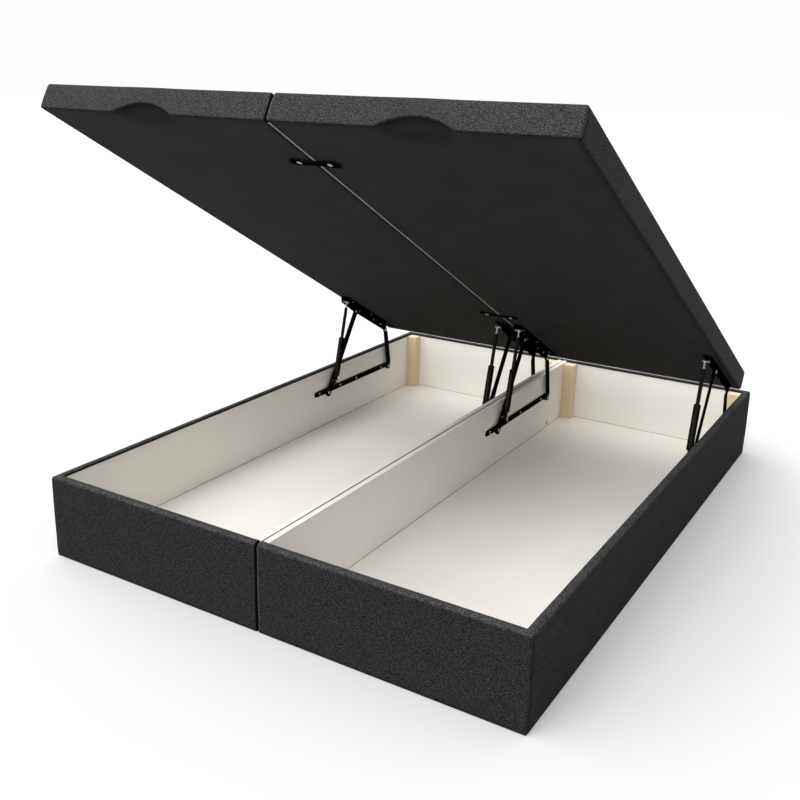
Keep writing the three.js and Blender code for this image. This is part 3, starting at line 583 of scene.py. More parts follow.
def lining_cloth(sign, seed):
    """A grid from edge to edge of the underside. Its height is a faint random tautness plus a
    ripple that is a cosine of the way along the edge and dies away within centimetres of it."""
    columns = np.linspace(SEAM_FACE + LINING_SEAM_INSET, HALF_WIDTH - LINING_INSET, 151)
    fine = np.linspace(0, FINE_ROWS_END, 17)
    rest = np.linspace(FINE_ROWS_END, LID_LENGTH - 2 * LINING_INSET, 150)[1:]
    x, depth = np.meshgrid(columns, np.concatenate([fine, rest]), indexing="ij")
    y = -LID_LENGTH + LINING_INSET + depth
    edge_x = np.minimum(x - SEAM_FACE, HALF_WIDTH - x)
    edge_y = np.minimum(y + LID_LENGTH, -y)
    ripple = np.cos(2 * math.pi * y / STAPLE_STEP) * np.exp(-edge_x / RIPPLE_REACH)
    ripple += np.cos(2 * math.pi * x / STAPLE_STEP) * np.exp(-edge_y / RIPPLE_REACH)
    hill = LINING_HILL * soft_noise(x + 1, y + 3, LINING_HILL_CELL, seed)
    height = np.clip(LINING_RISE + RIPPLE * ripple + hill, 0, LINING_MOST)
    points = scooped(np.stack([x, y, height], axis=-1))
    # Painted shade: darker along the hem and in the hollow of the hand grip.
    in_bowl = 1 - smooth_step(depth, GRIP_DEPTH * 0.5, GRIP_DEPTH * 3)
    in_bowl = grip_rise(x) / GRIP_HEIGHT * in_bowl
    hem_shade = HEM_SHADE_DEPTH * np.exp((LINING_INSET - np.minimum(edge_x, edge_y)) / HEM_SHADE_REACH)
    crease = np.clip(hem_shade + BOWL_SHADE_DEPTH * smooth_step(in_bowl, 0, 0.5), 0, 1.2)
    return mirrored(raised(points), sign), np.stack([x, y], axis=-1), crease


for side_name, sign in SIDES:
    patch = lining_cloth(sign, 71 if sign > 0 else 83)
    piece = mesh_object(f"lid_underlining_{side_name}", [patch], flip=sign > 0)
    thicken(piece, LINING_THICKNESS)
    fit(piece, "lid", "black_lining", f"lid_lining_{side_name}")
    print(piece.name, len(piece.data.polygons), "faces")

# %% [markdown]
# ## Tape along the lid's seam
#
# A dark woven tape with two pale ribs covers the raw edge of the lining along the seam, on the
# right half. Its cross-section is a wave with two humps, and the per-point value of light and
# tone darkens the pale tape everywhere but along the two ribs.

# %% Seam tape
TAPE_NEAR, TAPE_FAR, TAPE_END = 0.0012, 0.0116, 0.012
TAPE_THICKNESS = 0.0002
TAPE_DEPTH, TAPE_HUMP, TAPE_WAVER, TAPE_DARK = 0.00005, 0.00012, 0.0003, 1.3


def seam_tape():
    """Grid along the seam and across the tape: its depth has two humps, |sin| of one full turn."""
    along = np.linspace(-LID_LENGTH + TAPE_END, -TAPE_END, 330)
    y, u = np.meshgrid(along, np.linspace(0, 1, 31), indexing="ij")
    x = TAPE_NEAR + (TAPE_FAR - TAPE_NEAR) * u + TAPE_WAVER * soft_noise(y, u * 0, 0.12, 5)
    depth = TAPE_DEPTH + TAPE_HUMP * np.abs(np.sin(2 * math.pi * u))
    ridges = bell(u - 0.30, 0.15) + 0.9 * bell(u - 0.68, 0.11)
    points = raised(np.stack([x, y, -depth], axis=-1))
    return points, np.stack([x, y], axis=-1), TAPE_DARK * (1 - np.clip(ridges, 0, 1))


tape = mesh_object("lid_seam_tape", [seam_tape()])
thicken(tape, TAPE_THICKNESS)
fit(tape, "lid", "charcoal_fabric")

# %% [markdown]
# ## Where the storage floor meets the walls
#
# A fine dark line runs round each box, where the floor board ends against the walls. It is a
# small bead with a hollow face, carried round the room's rectangle.

# %% Floor edges
FLOOR_TOP = 0.0133
ROOM_NEAR, ROOM_FAR, ROOM_END = 0.0190, 0.7277, 0.9777
BEAD, BEAD_WAVER, BEAD_CELL = 0.0011, 0.35, 0.05
BEAD_RING = ((0, 0), (1, 0), (0.6, 0.14), (0.3, 0.3), (0.14, 0.6), (0, 1), (0, 0))


def floor_edge(sign):
    """Grid of a closed path and a closed section: corner, along the floor, hollow face, up the
    wall. The bead's size wavers a little along the path."""
    corners = np.array([
        (ROOM_NEAR, -ROOM_END), (ROOM_FAR, -ROOM_END), (ROOM_FAR, ROOM_END), (ROOM_NEAR, ROOM_END),
    ])
    middle = corners.mean(axis=0)
    t = np.linspace(0, 1, 61)[:-1, None]
    path = [corners[i] * (1 - t) + corners[(i + 1) % 4] * t for i in range(4)]
    path = np.concatenate(path + [corners[:1]])
    at_wall = np.abs(np.abs(path - middle) - np.abs(corners[0] - middle)) < SAME_POINT
    inward = np.sign(middle - path) * at_wall
    waver = soft_noise(path[:, :1] * 2, path[:, 1:] * 2, BEAD_CELL, 9)
    size = BEAD * (1 + BEAD_WAVER * waver)
    ring = np.array(BEAD_RING)
    plan_points = path[:, None] + inward[:, None] * size[:, None] * ring[None, :, :1]
    height = FLOOR_TOP + size * ring[None, :, 1]
    return mirrored(np.concatenate([plan_points, height[..., None]], axis=-1), sign)


for side_name, sign in SIDES:
    piece = mesh_object(f"floor_edge_{side_name}", [bare(floor_edge(sign))], closed=True)
    fit(piece, "base", "raw_board")

# %% [markdown]
# ## Lift mechanisms
#
# Four linkages stand on the long walls of the two storage boxes. Each has a plate screwed to the
# wall, a long and a short pressed arm, a bracket under the lid and a gas strut. The CAD gives
# every pivot, so a detailed arm is drawn from pivot to pivot. Boxes and tubes would do from afar,
# but pressed steel has rounded ends, raised ribs and domed rivets, and these catch the light.

# %% Pivots of the open lid
WALLS = (
    ("left_outer", -0.7277, 1.0),
    ("left_inner", -0.0190, -1.0),
    ("right_inner", 0.0190, 1.0),
    ("right_outer", 0.7277, -1.0),
)


def under_lid(forward, depth):
    """The (y, z) of a point forward of the lid's rear edge and down from its underside."""
    return raised(np.array([0.0, -forward, -depth]))[1:]


def heading(start, end):
    """Unit direction and distance from one (y, z) to another."""
    span = end - start
    length = float(np.hypot(*span))
    return span / length, length


FRONT_FOOT, REAR_FOOT = np.array([0.321, 0.148]), np.array([0.767, 0.148])
STRUT_ALONG_ARM = 0.050
FRONT_WAY, FRONT_LENGTH = heading(FRONT_FOOT, under_lid(0.336, 0.024))
REAR_WAY, REAR_LENGTH = heading(REAR_FOOT, under_lid(0.078, 0.027))
STRUT_FOOT = FRONT_FOOT + STRUT_ALONG_ARM * FRONT_WAY
STRUT_WAY, STRUT_LENGTH = heading(STRUT_FOOT, under_lid(0.436, 0.018))
print("arms", round(FRONT_LENGTH, 4), round(REAR_LENGTH, 4), "strut", round(STRUT_LENGTH, 4))


def on_wall(local, wall_x, inward, origin, way):
    """Places (along, across, layer) points: y and z are the origin plus along · way plus across ·
    way turned by a right angle, and x is the wall plus the layer, counted inward."""
    along, across, layer = np.moveaxis(local, -1, 0)
    return np.stack([
        wall_x + inward * layer + 0 * along,
        origin[0] + along * way[0] - across * way[1],
        origin[1] + along * way[1] + across * way[0],
    ], axis=-1)


# %% Shapes for pressed and turned steel
RIB_PROFILE = ((-0.93, 0), (-0.52, 0), (-0.36, 1), (0.36, 1), (0.52, 0), (0.93, 0))
RIM_PROFILE = ((-0.93, 1), (-0.78, 1), (-0.66, 0), (0.66, 0), (0.78, 1), (0.93, 1))
TURNED_SIDES = 28
HEAD_RINGS, HEAD_SIDES = 9, 32
HEAD_SINK = 0.0002


def pressed_bar(stations, low, high, near, far, bevel, ridge, fade, rims=False):
    """A bar with a bevelled section at each station along it. Across runs from low to high. The
    inner face is raised by the ridge height, in its middle or along its two rims."""
    edge = 1.0 if rims else 0.0
    ring = [(c, far, r) for c, r in (RIM_PROFILE if rims else RIB_PROFILE)]
    ring += [(1.0, far - bevel, edge), (1.0, near + bevel, 0), (0.93, near, 0)]
    ring += [(-0.93, near, 0), (-1.0, near + bevel, 0), (-1.0, far - bevel, edge)]
    ring = np.array(ring + ring[:1])
    across = ((low + high) / 2)[:, None] + ((high - low) / 2)[:, None] * ring[None, :, 0]
    layer = ring[None, :, 1] + ridge * fade[:, None] * ring[None, :, 2]
    return np.stack([np.broadcast_to(stations[:, None], across.shape), across, layer], axis=-1)


def round_end(centre, radius, toward):
    """Stations and half-widths of a half circle that ends a bar: centre ± radius · cos, and
    radius · sin."""
    turn = np.radians(np.linspace(0, 90, CORNER_STEPS))
    stations, half = centre + toward * radius * np.cos(turn), radius * np.sin(turn)
    return (stations, half) if toward < 0 else (stations[::-1], half[::-1])


def turned(profile, centre, pin=False):
    """A profile of (radius, distance) turned round the strut's axis, or round a pin's axis, which
    runs across the layers."""
    profile = np.asarray(profile, dtype=float)
    angle = np.linspace(0, 2 * math.pi, TURNED_SIDES + 1)[:, None]
    first, second = profile[:, 0] * np.cos(angle), profile[:, 0] * np.sin(angle)
    reach = profile[:, 1] + 0 * first
    if pin:
        return np.stack([centre + first, second, reach], axis=-1)
    return np.stack([reach, first, second + centre], axis=-1)


def dome(radius, base, height):
    """Profile of a rounded head: radius · cos and height · sin of a turn, from rim to pole."""
    return [(radius, base)] + [
        (radius * math.cos(turn), base + height * (0.35 + 0.65 * math.sin(turn)))
        for turn in np.radians(np.linspace(0, 90, 6))
    ]


def cross_head(along, across, face, height, radius):
    """A screw's head with a cross recess, sunk a little into its face. Height is a flat dome, less
    a hollow where the distance from either of two crossed lines is small and the middle is near.
    The rim drops straight, and a flat disc closes it."""
    share = np.linspace(0, 1, HEAD_RINGS)[None, :]
    angle = np.linspace(0, 2 * math.pi, HEAD_SIDES + 1)[:, None]
    u, v = share * np.cos(angle), share * np.sin(angle)
    arm = np.minimum(np.abs(u), np.abs(v))
    hollow = (1 - smooth_step(arm, 0.07, 0.17)) * (1 - smooth_step(share, 0.5, 0.68))
    rise = height * (1 - 0.45 * share ** 3) * (1 - 0.6 * hollow)
    rise = np.concatenate([rise, np.zeros((HEAD_SIDES + 1, 2))], axis=1)
    u, v = (np.concatenate([w, w[:, -1:], 0 * w[:, -1:]], axis=1) for w in (u, v))
    return np.stack([along + radius * u, across + radius * v, face - HEAD_SINK + rise], axis=-1)


# %% Plate on the wall
PLATE_NEAR, PLATE_FAR = 0.0003, 0.0033
PLATE_MIDDLE, PLATE_HALF = 0.155, 0.011
PLATE_FRONT, PLATE_REAR = 0.238, 0.779
LOBE_RADIUS = 0.012
PLATE_BEVEL, PLATE_RIB, PLATE_RIB_CLEAR = 0.0006, 0.0011, (0.012, 0.020)
PLATE_SCREWS = (0.030, 0.173, 0.287, 0.477)
PLATE_HEAD = (0.0024, 0.0052)


def wall_plate():
    """Upper edge straight, lower edge dropping round each pivot by a circle's arc, round front
    end, cut rear corner, and raised ribs between the screws."""
    nose, nose_half = (v[:-1] for v in round_end(PLATE_FRONT + PLATE_HALF, PLATE_HALF, -1))
    cut = PLATE_REAR - PLATE_HALF
    body = np.concatenate([
        np.linspace(PLATE_FRONT + PLATE_HALF, cut, 150), np.linspace(cut, PLATE_REAR, 8)[1:],
    ])
    high = PLATE_MIDDLE + np.minimum(PLATE_HALF, PLATE_REAR - body)
    low = np.full(body.shape, PLATE_MIDDLE - PLATE_HALF)
    for y, z in (FRONT_FOOT, REAR_FOOT):
        depth = LOBE_RADIUS ** 2 - (body - y) ** 2
        lobe = z - np.sqrt(np.maximum(depth, 0))
        low = np.where(depth > 0, np.minimum(low, lobe), low)
    low = np.where(body > REAR_FOOT[0], lobe, low)
    stations = np.concatenate([nose, body, [PLATE_REAR]])
    middle_end = [(low[-1] + high[-1]) / 2]
    low = np.concatenate([PLATE_MIDDLE - nose_half, low, middle_end])
    high = np.concatenate([PLATE_MIDDLE + nose_half, high, middle_end])
    clear = np.min([np.abs(stations - PLATE_FRONT - spot) for spot in PLATE_SCREWS], axis=0)
    for pivot in (FRONT_FOOT, REAR_FOOT):
        clear = np.minimum(clear, np.abs(stations - pivot[0]) - 0.004)
    fade = smooth_step(clear, *PLATE_RIB_CLEAR)
    return pressed_bar(stations, low, high, PLATE_NEAR, PLATE_FAR, PLATE_BEVEL, PLATE_RIB, fade)


# %% Arms and their pins
ARM_NEAR, ARM_FAR, ARM_BEVEL = 0.008, 0.012, 0.0008
FRONT_ARM_HALF, FRONT_FOOT_HALF, FRONT_FOOT_RUN = 0.0146, 0.0165, 0.138
REAR_ARM_HALF = 0.0120
FRONT_RIB, FRONT_RIB_FROM, FRONT_RIB_GAP = 0.0006, (0.075, 0.085), 0.012
REAR_RIM, REAR_RIM_FROM = 0.0030, (0.008, 0.016)
PIN_HEAD = (0.0065, ARM_FAR, 0.0139)
FOOT_PIN = ((0.004, 0.0006, 0.0036), (0.0075, 0.0036, ARM_NEAR), PIN_HEAD)
REAR_TOP_PIN = ((0.0072, 0.0073, ARM_NEAR), PIN_HEAD)
FRONT_TOP_PIN = ((0.0065, 0.0022, 0.0037), (0.004, 0.0037, 0.0073), *REAR_TOP_PIN)
STRUT_PIN = ((0.007, ARM_FAR, 0.0177), (0.004, 0.0177, 0.0303), (0.0065, 0.0303, 0.0335))
MIDDLE_RIVET = ((0.004, 0.010, ARM_FAR), (0.0048, ARM_FAR, 0.0139))
CROSS_PIN = ((0.0040, 0.0073, 0.0098), (0.0024, 0.0098, 0.030), (0.0040, 0.030, 0.0330))


def with_round_ends(length, foot_half, body, body_half, tip_half):
    """Stations and half-widths of an arm: a half circle at its foot, its body, one at its tip."""
    foot, tip = round_end(0.0, foot_half, -1), round_end(length, tip_half, 1)
    return (np.concatenate(run) for run in zip(foot, (body, body_half), tip))


def front_arm_shape():
    """A wide foot, a taper where the foot ends, and a raised rib on both sides of the taper."""
    taper_end = FRONT_FOOT_RUN + FRONT_FOOT_HALF
    body = np.concatenate([
        np.linspace(0, FRONT_FOOT_RUN, 14)[1:],
        np.linspace(FRONT_FOOT_RUN, taper_end, 5)[1:],
        np.linspace(taper_end, FRONT_LENGTH, 14)[1:-1],
    ])
    body_half = smooth_step(body, FRONT_FOOT_RUN, taper_end)
    body_half = FRONT_FOOT_HALF + (FRONT_ARM_HALF - FRONT_FOOT_HALF) * body_half
    stations, half = with_round_ends(
        FRONT_LENGTH, FRONT_FOOT_HALF, body, body_half, FRONT_ARM_HALF
    )
    fade = smooth_step(stations, *FRONT_RIB_FROM)
    fade = fade * (1 - smooth_step(stations, FRONT_LENGTH - 0.03, FRONT_LENGTH - 0.02))
    fade = fade * (np.abs(stations - FRONT_FOOT_RUN) > FRONT_RIB_GAP)
    return pressed_bar(stations, -half, half, ARM_NEAR, ARM_FAR, ARM_BEVEL, FRONT_RIB, fade)


def rear_arm_shape():
    """The same bar with straight edges, and rims that stand up between the two pivots."""
    body = np.linspace(0, REAR_LENGTH, 24)[1:-1]
    body_half = np.full(body.shape, REAR_ARM_HALF)
    stations, half = with_round_ends(REAR_LENGTH, REAR_ARM_HALF, body, body_half, REAR_ARM_HALF)
    low, high = REAR_RIM_FROM
    fade = smooth_step(stations, low, high)
    fade = fade * (1 - smooth_step(stations, REAR_LENGTH - high, REAR_LENGTH - low))
    return pressed_bar(
        stations, -half, half, ARM_NEAR, ARM_FAR, ARM_BEVEL, REAR_RIM, fade, rims=True
    )


def pin_body(steps, centre):
    """A pin of several (radius, start, end) steps across the layers, with a domed inner end."""
    profile = [(0.0, steps[0][1])]
    for radius, start, end in steps[:-1]:
        profile += [(radius, start), (radius, end)]
    radius, start, end = steps[-1]
    return turned(profile + dome(radius, start, end - start), centre, pin=True)


# %% Gas strut
STRUT_LAYER = 0.024
CYLINDER_START, CYLINDER_END = 0.022, 0.176
CYLINDER_RADIUS, ROD_RADIUS, CYLINDER_BORE = 0.0113, 0.0064, 0.0071
FITTING_RADIUS, FITTING_LENGTH = 0.0027, 0.024
CYLINDER_EYE = (0.009, 0.006, 0.0046)
FITTING_EYE = (0.0050, 0.0038, 0.0026)
FITTING_STEPS = (
    (0.0012, -0.0006), (0.0016, 0), (0.0016, 0.004), (0.0010, 0.0046), (0, 0.005), (0, 0.008),
    (-0.0005, 0.0085), (0, 0.009), (0, 0.012), (-0.0005, 0.0125), (0, 0.013),
)


def strut_cylinder():
    """Profile: neck, rounded shoulder, long wall, a rolled groove near the end, rim, and bore."""
    radius, start, end, bottom = CYLINDER_RADIUS, CYLINDER_START, CYLINDER_END, CYLINDER_START + 0.004
    shoulder = arc((start + 0.003, radius - 0.003), 0.003, 180, 90, 6)
    rim = arc((end - 0.0022, radius - 0.0022), 0.0022, 90, 0, 5)
    groove = [(end - 0.012, radius), (end - 0.011, radius - 0.0007),
              (end - 0.0096, radius - 0.0007), (end - 0.0086, radius)]
    outline = [(0.0045, 0.0), (0.0045, 0.0058), (start, 0.0058), *shoulder, *groove, *rim,
               (end, CYLINDER_BORE), (bottom, CYLINDER_BORE), (bottom, 0.0)]
    return turned([(r, along) for along, r in outline], STRUT_LAYER)


def strut_eye(centre, radius, half_width, hole):
    """A ring across the layers with bevelled outer edges: outer wall, then back by the hole."""
    low, high, bevel = STRUT_LAYER - half_width, STRUT_LAYER + half_width, 0.001
    return turned([
        (hole, low), (radius - bevel, low), (radius, low + bevel), (radius, high - bevel),
        (radius - bevel, high), (hole, high), (hole, low),
    ], centre, pin=True)


def strut_rod():
    """A plain rod from inside the cylinder to its fitting."""
    start, end = CYLINDER_END - 0.018, STRUT_LENGTH - FITTING_LENGTH
    profile = [(0, start), (ROD_RADIUS, start), (ROD_RADIUS, end - 0.001), (ROD_RADIUS - 0.001, end)]
    return turned(profile + [(0, end)], STRUT_LAYER)


def strut_fitting():
    """Screwed end: a nut, a neck with two fine grooves, and a shoulder that meets the eye."""
    start, end = STRUT_LENGTH - FITTING_LENGTH, STRUT_LENGTH - 0.0045
    steps = [(FITTING_RADIUS + more, start + along) for more, along in FITTING_STEPS]
    profile = [(0, start - 0.0006), *steps, (FITTING_RADIUS, end), (0, end)]
    return turned(profile, STRUT_LAYER)


# %% Set the mechanisms up
SHARP_ANGLE = math.radians(38)
AT_WALL = (np.array([0.0, 0.0]), np.array([1.0, 0.0]))
AT_FRONT, AT_REAR, AT_STRUT = (FRONT_FOOT, FRONT_WAY), (REAR_FOOT, REAR_WAY), (STRUT_FOOT, STRUT_WAY)
plate_screws = [
    cross_head(PLATE_FRONT + spot, PLATE_MIDDLE, PLATE_FAR, *PLATE_HEAD)
    for spot in PLATE_SCREWS
]
front_pins = [
    pin_body(FOOT_PIN, 0.0), pin_body(FRONT_TOP_PIN, FRONT_LENGTH),
    pin_body(STRUT_PIN, STRUT_ALONG_ARM), pin_body(MIDDLE_RIVET, FRONT_FOOT_RUN),
]
rear_pins = [pin_body(FOOT_PIN, 0.0), pin_body(REAR_TOP_PIN, REAR_LENGTH)]
cylinder = [strut_cylinder(), strut_eye(0.0, *CYLINDER_EYE)]
fitting = [
    strut_fitting(), strut_eye(STRUT_LENGTH, *FITTING_EYE), pin_body(CROSS_PIN, STRUT_LENGTH),
]
MECHANISM = (
    ("wall_plate", [wall_plate()], AT_WALL, "base", "lower_plate"),
    ("wall_plate_screws", plate_screws, AT_WALL, "base", None),
    ("long_arm", [front_arm_shape()], AT_FRONT, "front_arm", "front_arm"),
    ("long_arm_pins", front_pins, AT_FRONT, "front_arm", None),
    ("short_arm", [rear_arm_shape()], AT_REAR, "rear_arm", "rear_arm"),
    ("short_arm_pins", rear_pins, AT_REAR, "rear_arm", None),
    ("strut_cylinder", cylinder, AT_STRUT, "gas_cylinder", "gas_cylinder"),
    ("strut_rod", [strut_rod()], AT_STRUT, "gas_rod", "gas_rod"),
    ("strut_fitting", fitting, AT_STRUT, "gas_rod", None),
)

for place, wall_x, inward in WALLS:
    for name, shapes, (origin, way), body, replaced in MECHANISM:
        patches = [bare(on_wall(shape, wall_x, inward, origin, way)) for shape in shapes]
        piece = mesh_object(f"{name}_{place}", patches, closed=True)
        piece.data.set_sharp_from_angle(angle=SHARP_ANGLE)
        body_name = body if body == "base" else f"{body}_{place}"
        if replaced:
            fit(piece, body_name, "black_steel", f"{replaced}_{place}")
        else:
            fit(piece, body_name, "bright_steel")
print("mechanism pieces:", len(WALLS) * len(MECHANISM))

# %% Screws and rivets of the lid brackets, and the link plates with their screws
BRACKET_FACE, FLANGE_FACE, LINK_FACE = 0.007, 0.0028, 0.0033
FLANGE_MIDDLE, WEB_DEPTH = 0.018, 0.014
WEB_RIVETS = (0.120, 0.182, 0.303, 0.405)
FLANGE_SCREWS = (0.090, 0.230, 0.388)
LINK_SCREWS = (-0.046, 0.046)
LINK_PLACES = (("rear", 0.541), ("front", 1.780))
LINK_REACH, LINK_HALF, LINK_WAIST = 0.075, 0.018, 0.006
LINK_BEVEL, LINK_RIB, LINK_RIB_CLEAR = 0.0007, 0.0009, (0.009, 0.014)
RIVET_BASE, RIVET_HEIGHT, RIVET_RADIUS = BRACKET_FACE - 0.001, 0.0028, 0.0046
rivet = turned([(0.0, RIVET_BASE)] + dome(RIVET_RADIUS, RIVET_BASE, RIVET_HEIGHT), 0.0, pin=True)
flange_head = cross_head(0.0, 0.0, FLANGE_FACE, 0.0021, 0.0050)
link_head = cross_head(0.0, 0.0, LINK_FACE, 0.0021, 0.0068)


def hung(local, x, forward, depth):
    """Hangs (across, along, down) points under the lid at a place and depth."""
    points = np.array([x, -forward, -depth]) + local * np.array([1.0, 1.0, -1.0])
    return bare(raised(points))


for place, wall_x, inward in WALLS:
    x = wall_x + inward * FLANGE_MIDDLE
    heads = [hung(flange_head, x, spot, 0.0) for spot in FLANGE_SCREWS]
    sideways = np.stack([inward * rivet[..., 2], rivet[..., 0], -rivet[..., 1]], axis=-1)
    heads += [hung(sideways, wall_x, spot, WEB_DEPTH) for spot in WEB_RIVETS]
    fit(mesh_object(f"bracket_screws_{place}", heads, closed=True), "lid", "bright_steel")


def link_plate(forward):
    """Pressed plate across the seam: round ends, a waist in its middle, ribs between the screws."""
    straight_end = LINK_REACH - LINK_HALF
    end, end_half = round_end(-straight_end, LINK_HALF, -1)
    body = np.linspace(-straight_end, straight_end, 48)[1:-1]
    waist = np.cos(np.clip(body / straight_end, -1, 1) * math.pi / 2) ** 2
    stations = np.concatenate([end, body, -end[::-1]])
    half = np.concatenate([end_half, LINK_HALF - LINK_WAIST * waist, end_half[::-1]])
    clear = np.min([np.abs(stations - x) for x in LINK_SCREWS], axis=0)
    fade = smooth_step(clear, *LINK_RIB_CLEAR)
    local = pressed_bar(
        stations, -half, half, PLATE_NEAR, LINK_FACE, LINK_BEVEL, LINK_RIB, fade
    )
    return hung(local, 0.0, forward, 0.0)


for place, forward in LINK_PLACES:
    piece = mesh_object(f"seam_plate_{place}", [link_plate(forward)], closed=True)
    fit(piece, "lid", "black_steel", f"link_plate_{place}")
    heads = [hung(link_head, x, forward, 0.0) for x in LINK_SCREWS]
    fit(mesh_object(f"link_screws_{place}", heads, closed=True), "lid", "bright_steel")

# %% [markdown]
# ## Materials
#
# Each material starts from a Principled shader. A small helper adds a node and wires its inputs
# in one call. Effects that several materials need are node groups: the weave, wood grain and a
# mottling noise.

# %% Helpers for materials
FLOAT, COLOUR, VECTOR = "NodeSocketFloat", "NodeSocketColor", "NodeSocketVector"


def add_node(tree, kind, values=None, **settings):
    """Adds a shader node, sets its own settings, then gives each input a value or a wire."""
    node = tree.nodes.new("ShaderNode" + kind)
    for key, value in settings.items():
        setattr(node, key, value)
    for key, value in (values or {}).items():
        if isinstance(value, bpy.types.NodeSocket):
            tree.links.new(value, node.inputs[key])
        else:
            node.inputs[key].default_value = value
    return node


def math_node(tree, operation, first, second=0.0, third=0.0, clamp=False):
    """The result socket of one Math node."""
    values = {0: first, 1: second, 2: third}
    return add_node(tree, "Math", values, operation=operation, use_clamp=clamp).outputs[0]


def mix_colour(tree, factor, first, second, blend="MIX"):
    """The result socket of a colour Mix node."""
    values = {"Factor": factor, 6: first, 7: second}
    return add_node(tree, "Mix", values, data_type="RGBA", blend_type=blend).outputs[2]


def mix_value(tree, factor, first, second):
    """The result socket of a number Mix node."""
    return add_node(tree, "Mix", {"Factor": factor, 2: first, 3: second}).outputs[0]


def spread_to(tree, value, low, high):
    """Maps 0 to 1 onto low to high."""
    return add_node(tree, "MapRange", {0: value, 3: low, 4: high}).outputs[0]


def noise(tree, vector, scale, detail, distortion=0.0):
    """The value socket of a Noise node."""
    values = {"Vector": vector, "Scale": scale, "Detail": detail, "Distortion": distortion}
    return add_node(tree, "TexNoise", values).outputs[0]


def object_place(tree):
    """Coordinates in metres that stay with the object."""
    return add_node(tree, "TexCoord").outputs["Object"]


def cloth_place(tree):
    """Coordinates in metres on the flat cloth, and the per-point value of painted light and tone."""
    crease = add_node(tree, "Attribute", attribute_name="crease").outputs["Fac"]
    return add_node(tree, "UVMap", uv_map="cloth").outputs[0], crease


def new_material(name, **shader_values):
    """A material with one Principled shader; keywords set its own sockets, with _ for a space."""
    material = bpy.data.materials.new(name)
    material.use_nodes = True
    tree = material.node_tree
    tree.nodes.clear()
    shader = add_node(tree, "BsdfPrincipled")
    add_node(tree, "OutputMaterial", {"Surface": shader.outputs[0]})
    for key, value in shader_values.items():
        shader.inputs[key.replace("_", " ")].default_value = value
    return material, tree, shader


def finish(tree, shader, tint, height=None, distance=0.0, strength=0.0, rough=None):
    """Feeds the shader's colour, a bump from a height, and a roughness."""
    tree.links.new(tint, shader.inputs["Base Color"])
    if height is not None:
        values = {"Height": height, "Distance": distance, "Strength": strength}
        tree.links.new(add_node(tree, "Bump", values).outputs[0], shader.inputs["Normal"])
    if rough is not None:
        tree.links.new(rough, shader.inputs["Roughness"])


def new_group(name, inputs, outputs):
    """An empty node group with named input and output sockets."""
    group = bpy.data.node_groups.new(name, "ShaderNodeTree")
    for side, sockets in (("INPUT", inputs), ("OUTPUT", outputs)):
        for socket, kind in sockets.items():
            group.interface.new_socket(socket, in_out=side, socket_type=kind)
    nodes = group.nodes
    return group, nodes.new("NodeGroupInput").outputs, nodes.new("NodeGroupOutput").inputs


def colour(red, green, blue):
    """A shader colour from the 0 to 255 numbers of a screen colour."""
    screen = np.array([red, green, blue]) / 255
    linear = np.where(screen <= 0.04045, screen / 12.92, ((screen + 0.055) / 1.055) ** 2.4)
    return (*linear.tolist(), 1.0)


# %% [markdown]
# ### The weave
#
# The cloth is a plain weave of dark and lighter grey yarns, about two millimetres wide. Each
# yarn is rounded, goes over and under its neighbours, and changes its grey along its length, so
# that short streaks show both ways. Slow noise on top gives the cloudy look of melange cloth.

# %% Node groups: weave and mottle
FINE_STREAKS, SLUBS = (1.15, 0.5), (0.8, 0.2)
FINE_WEIGHT, SLUB_WEIGHT, CLOUD_WEIGHT = 0.62, 0.335, 0.045


def build_weave():
    """Height: |sin(pi · way)| of the rows or of the columns of yarns, as a checker says which are
    on top. Colour: dark to light by noise stretched along the yarns, fine and slubbed, and clouds."""
    group, given, result = new_group(
        "woven cloth",
        {"Vector": VECTOR, "Yarns per metre": FLOAT, "Dark": COLOUR, "Light": COLOUR},
        {"Color": COLOUR, "Height": FLOAT},
    )
    scaled = add_node(group, "VectorMath", {0: given["Vector"]}, operation="SCALE")
    group.links.new(given["Yarns per metre"], scaled.inputs["Scale"])
    parts = add_node(group, "SeparateXYZ", {0: scaled.outputs[0]}).outputs
    yarns = [
        math_node(group, "ABSOLUTE", math_node(
            group, "SINE", math_node(group, "MULTIPLY", parts[axis], math.pi)
        ))
        for axis in (0, 1)
    ]
    rows = [math_node(group, "FLOOR", parts[axis]) for axis in (0, 1)]
    rows = math_node(group, "MODULO", math_node(group, "ADD", *rows), 2.0)
    checker = math_node(group, "ABSOLUTE", rows)
    streaks = []
    for scale, slim in (FINE_STREAKS, SLUBS):
        for stretch in ((1.0, slim, 1.0), (slim, 1.0, 1.0)):
            mapped = add_node(group, "Mapping", {0: scaled.outputs[0], 3: stretch})
            streaks.append(noise(group, mapped.outputs[0], scale, 2.0))
    over = mix_value(group, checker, yarns[1], yarns[0])
    fine = mix_value(group, checker, streaks[1], streaks[0])
    slubs = mix_value(group, 0.55, streaks[2], streaks[3])
    clouds = noise(group, given["Vector"], 22.0, 3.0)
    mixed = math_node(group, "MULTIPLY", fine, FINE_WEIGHT)
    mixed = math_node(group, "MULTIPLY_ADD", slubs, SLUB_WEIGHT, mixed)
    mixed = math_node(group, "MULTIPLY_ADD", clouds, CLOUD_WEIGHT, mixed)
    factor = add_node(group, "MapRange", {0: mixed, 1: 0.44, 2: 0.60}).outputs[0]
    # The yarns are darkened where they dip between their neighbours: painted shade.
    shade = math_node(group, "MULTIPLY_ADD", over, 0.45, 0.55)
    base = mix_colour(group, factor, given["Dark"], given["Light"])
    group.links.new(mix_colour(group, 1.0, base, shade, "MULTIPLY"), result["Color"])
    group.links.new(over, result["Height"])
    return group


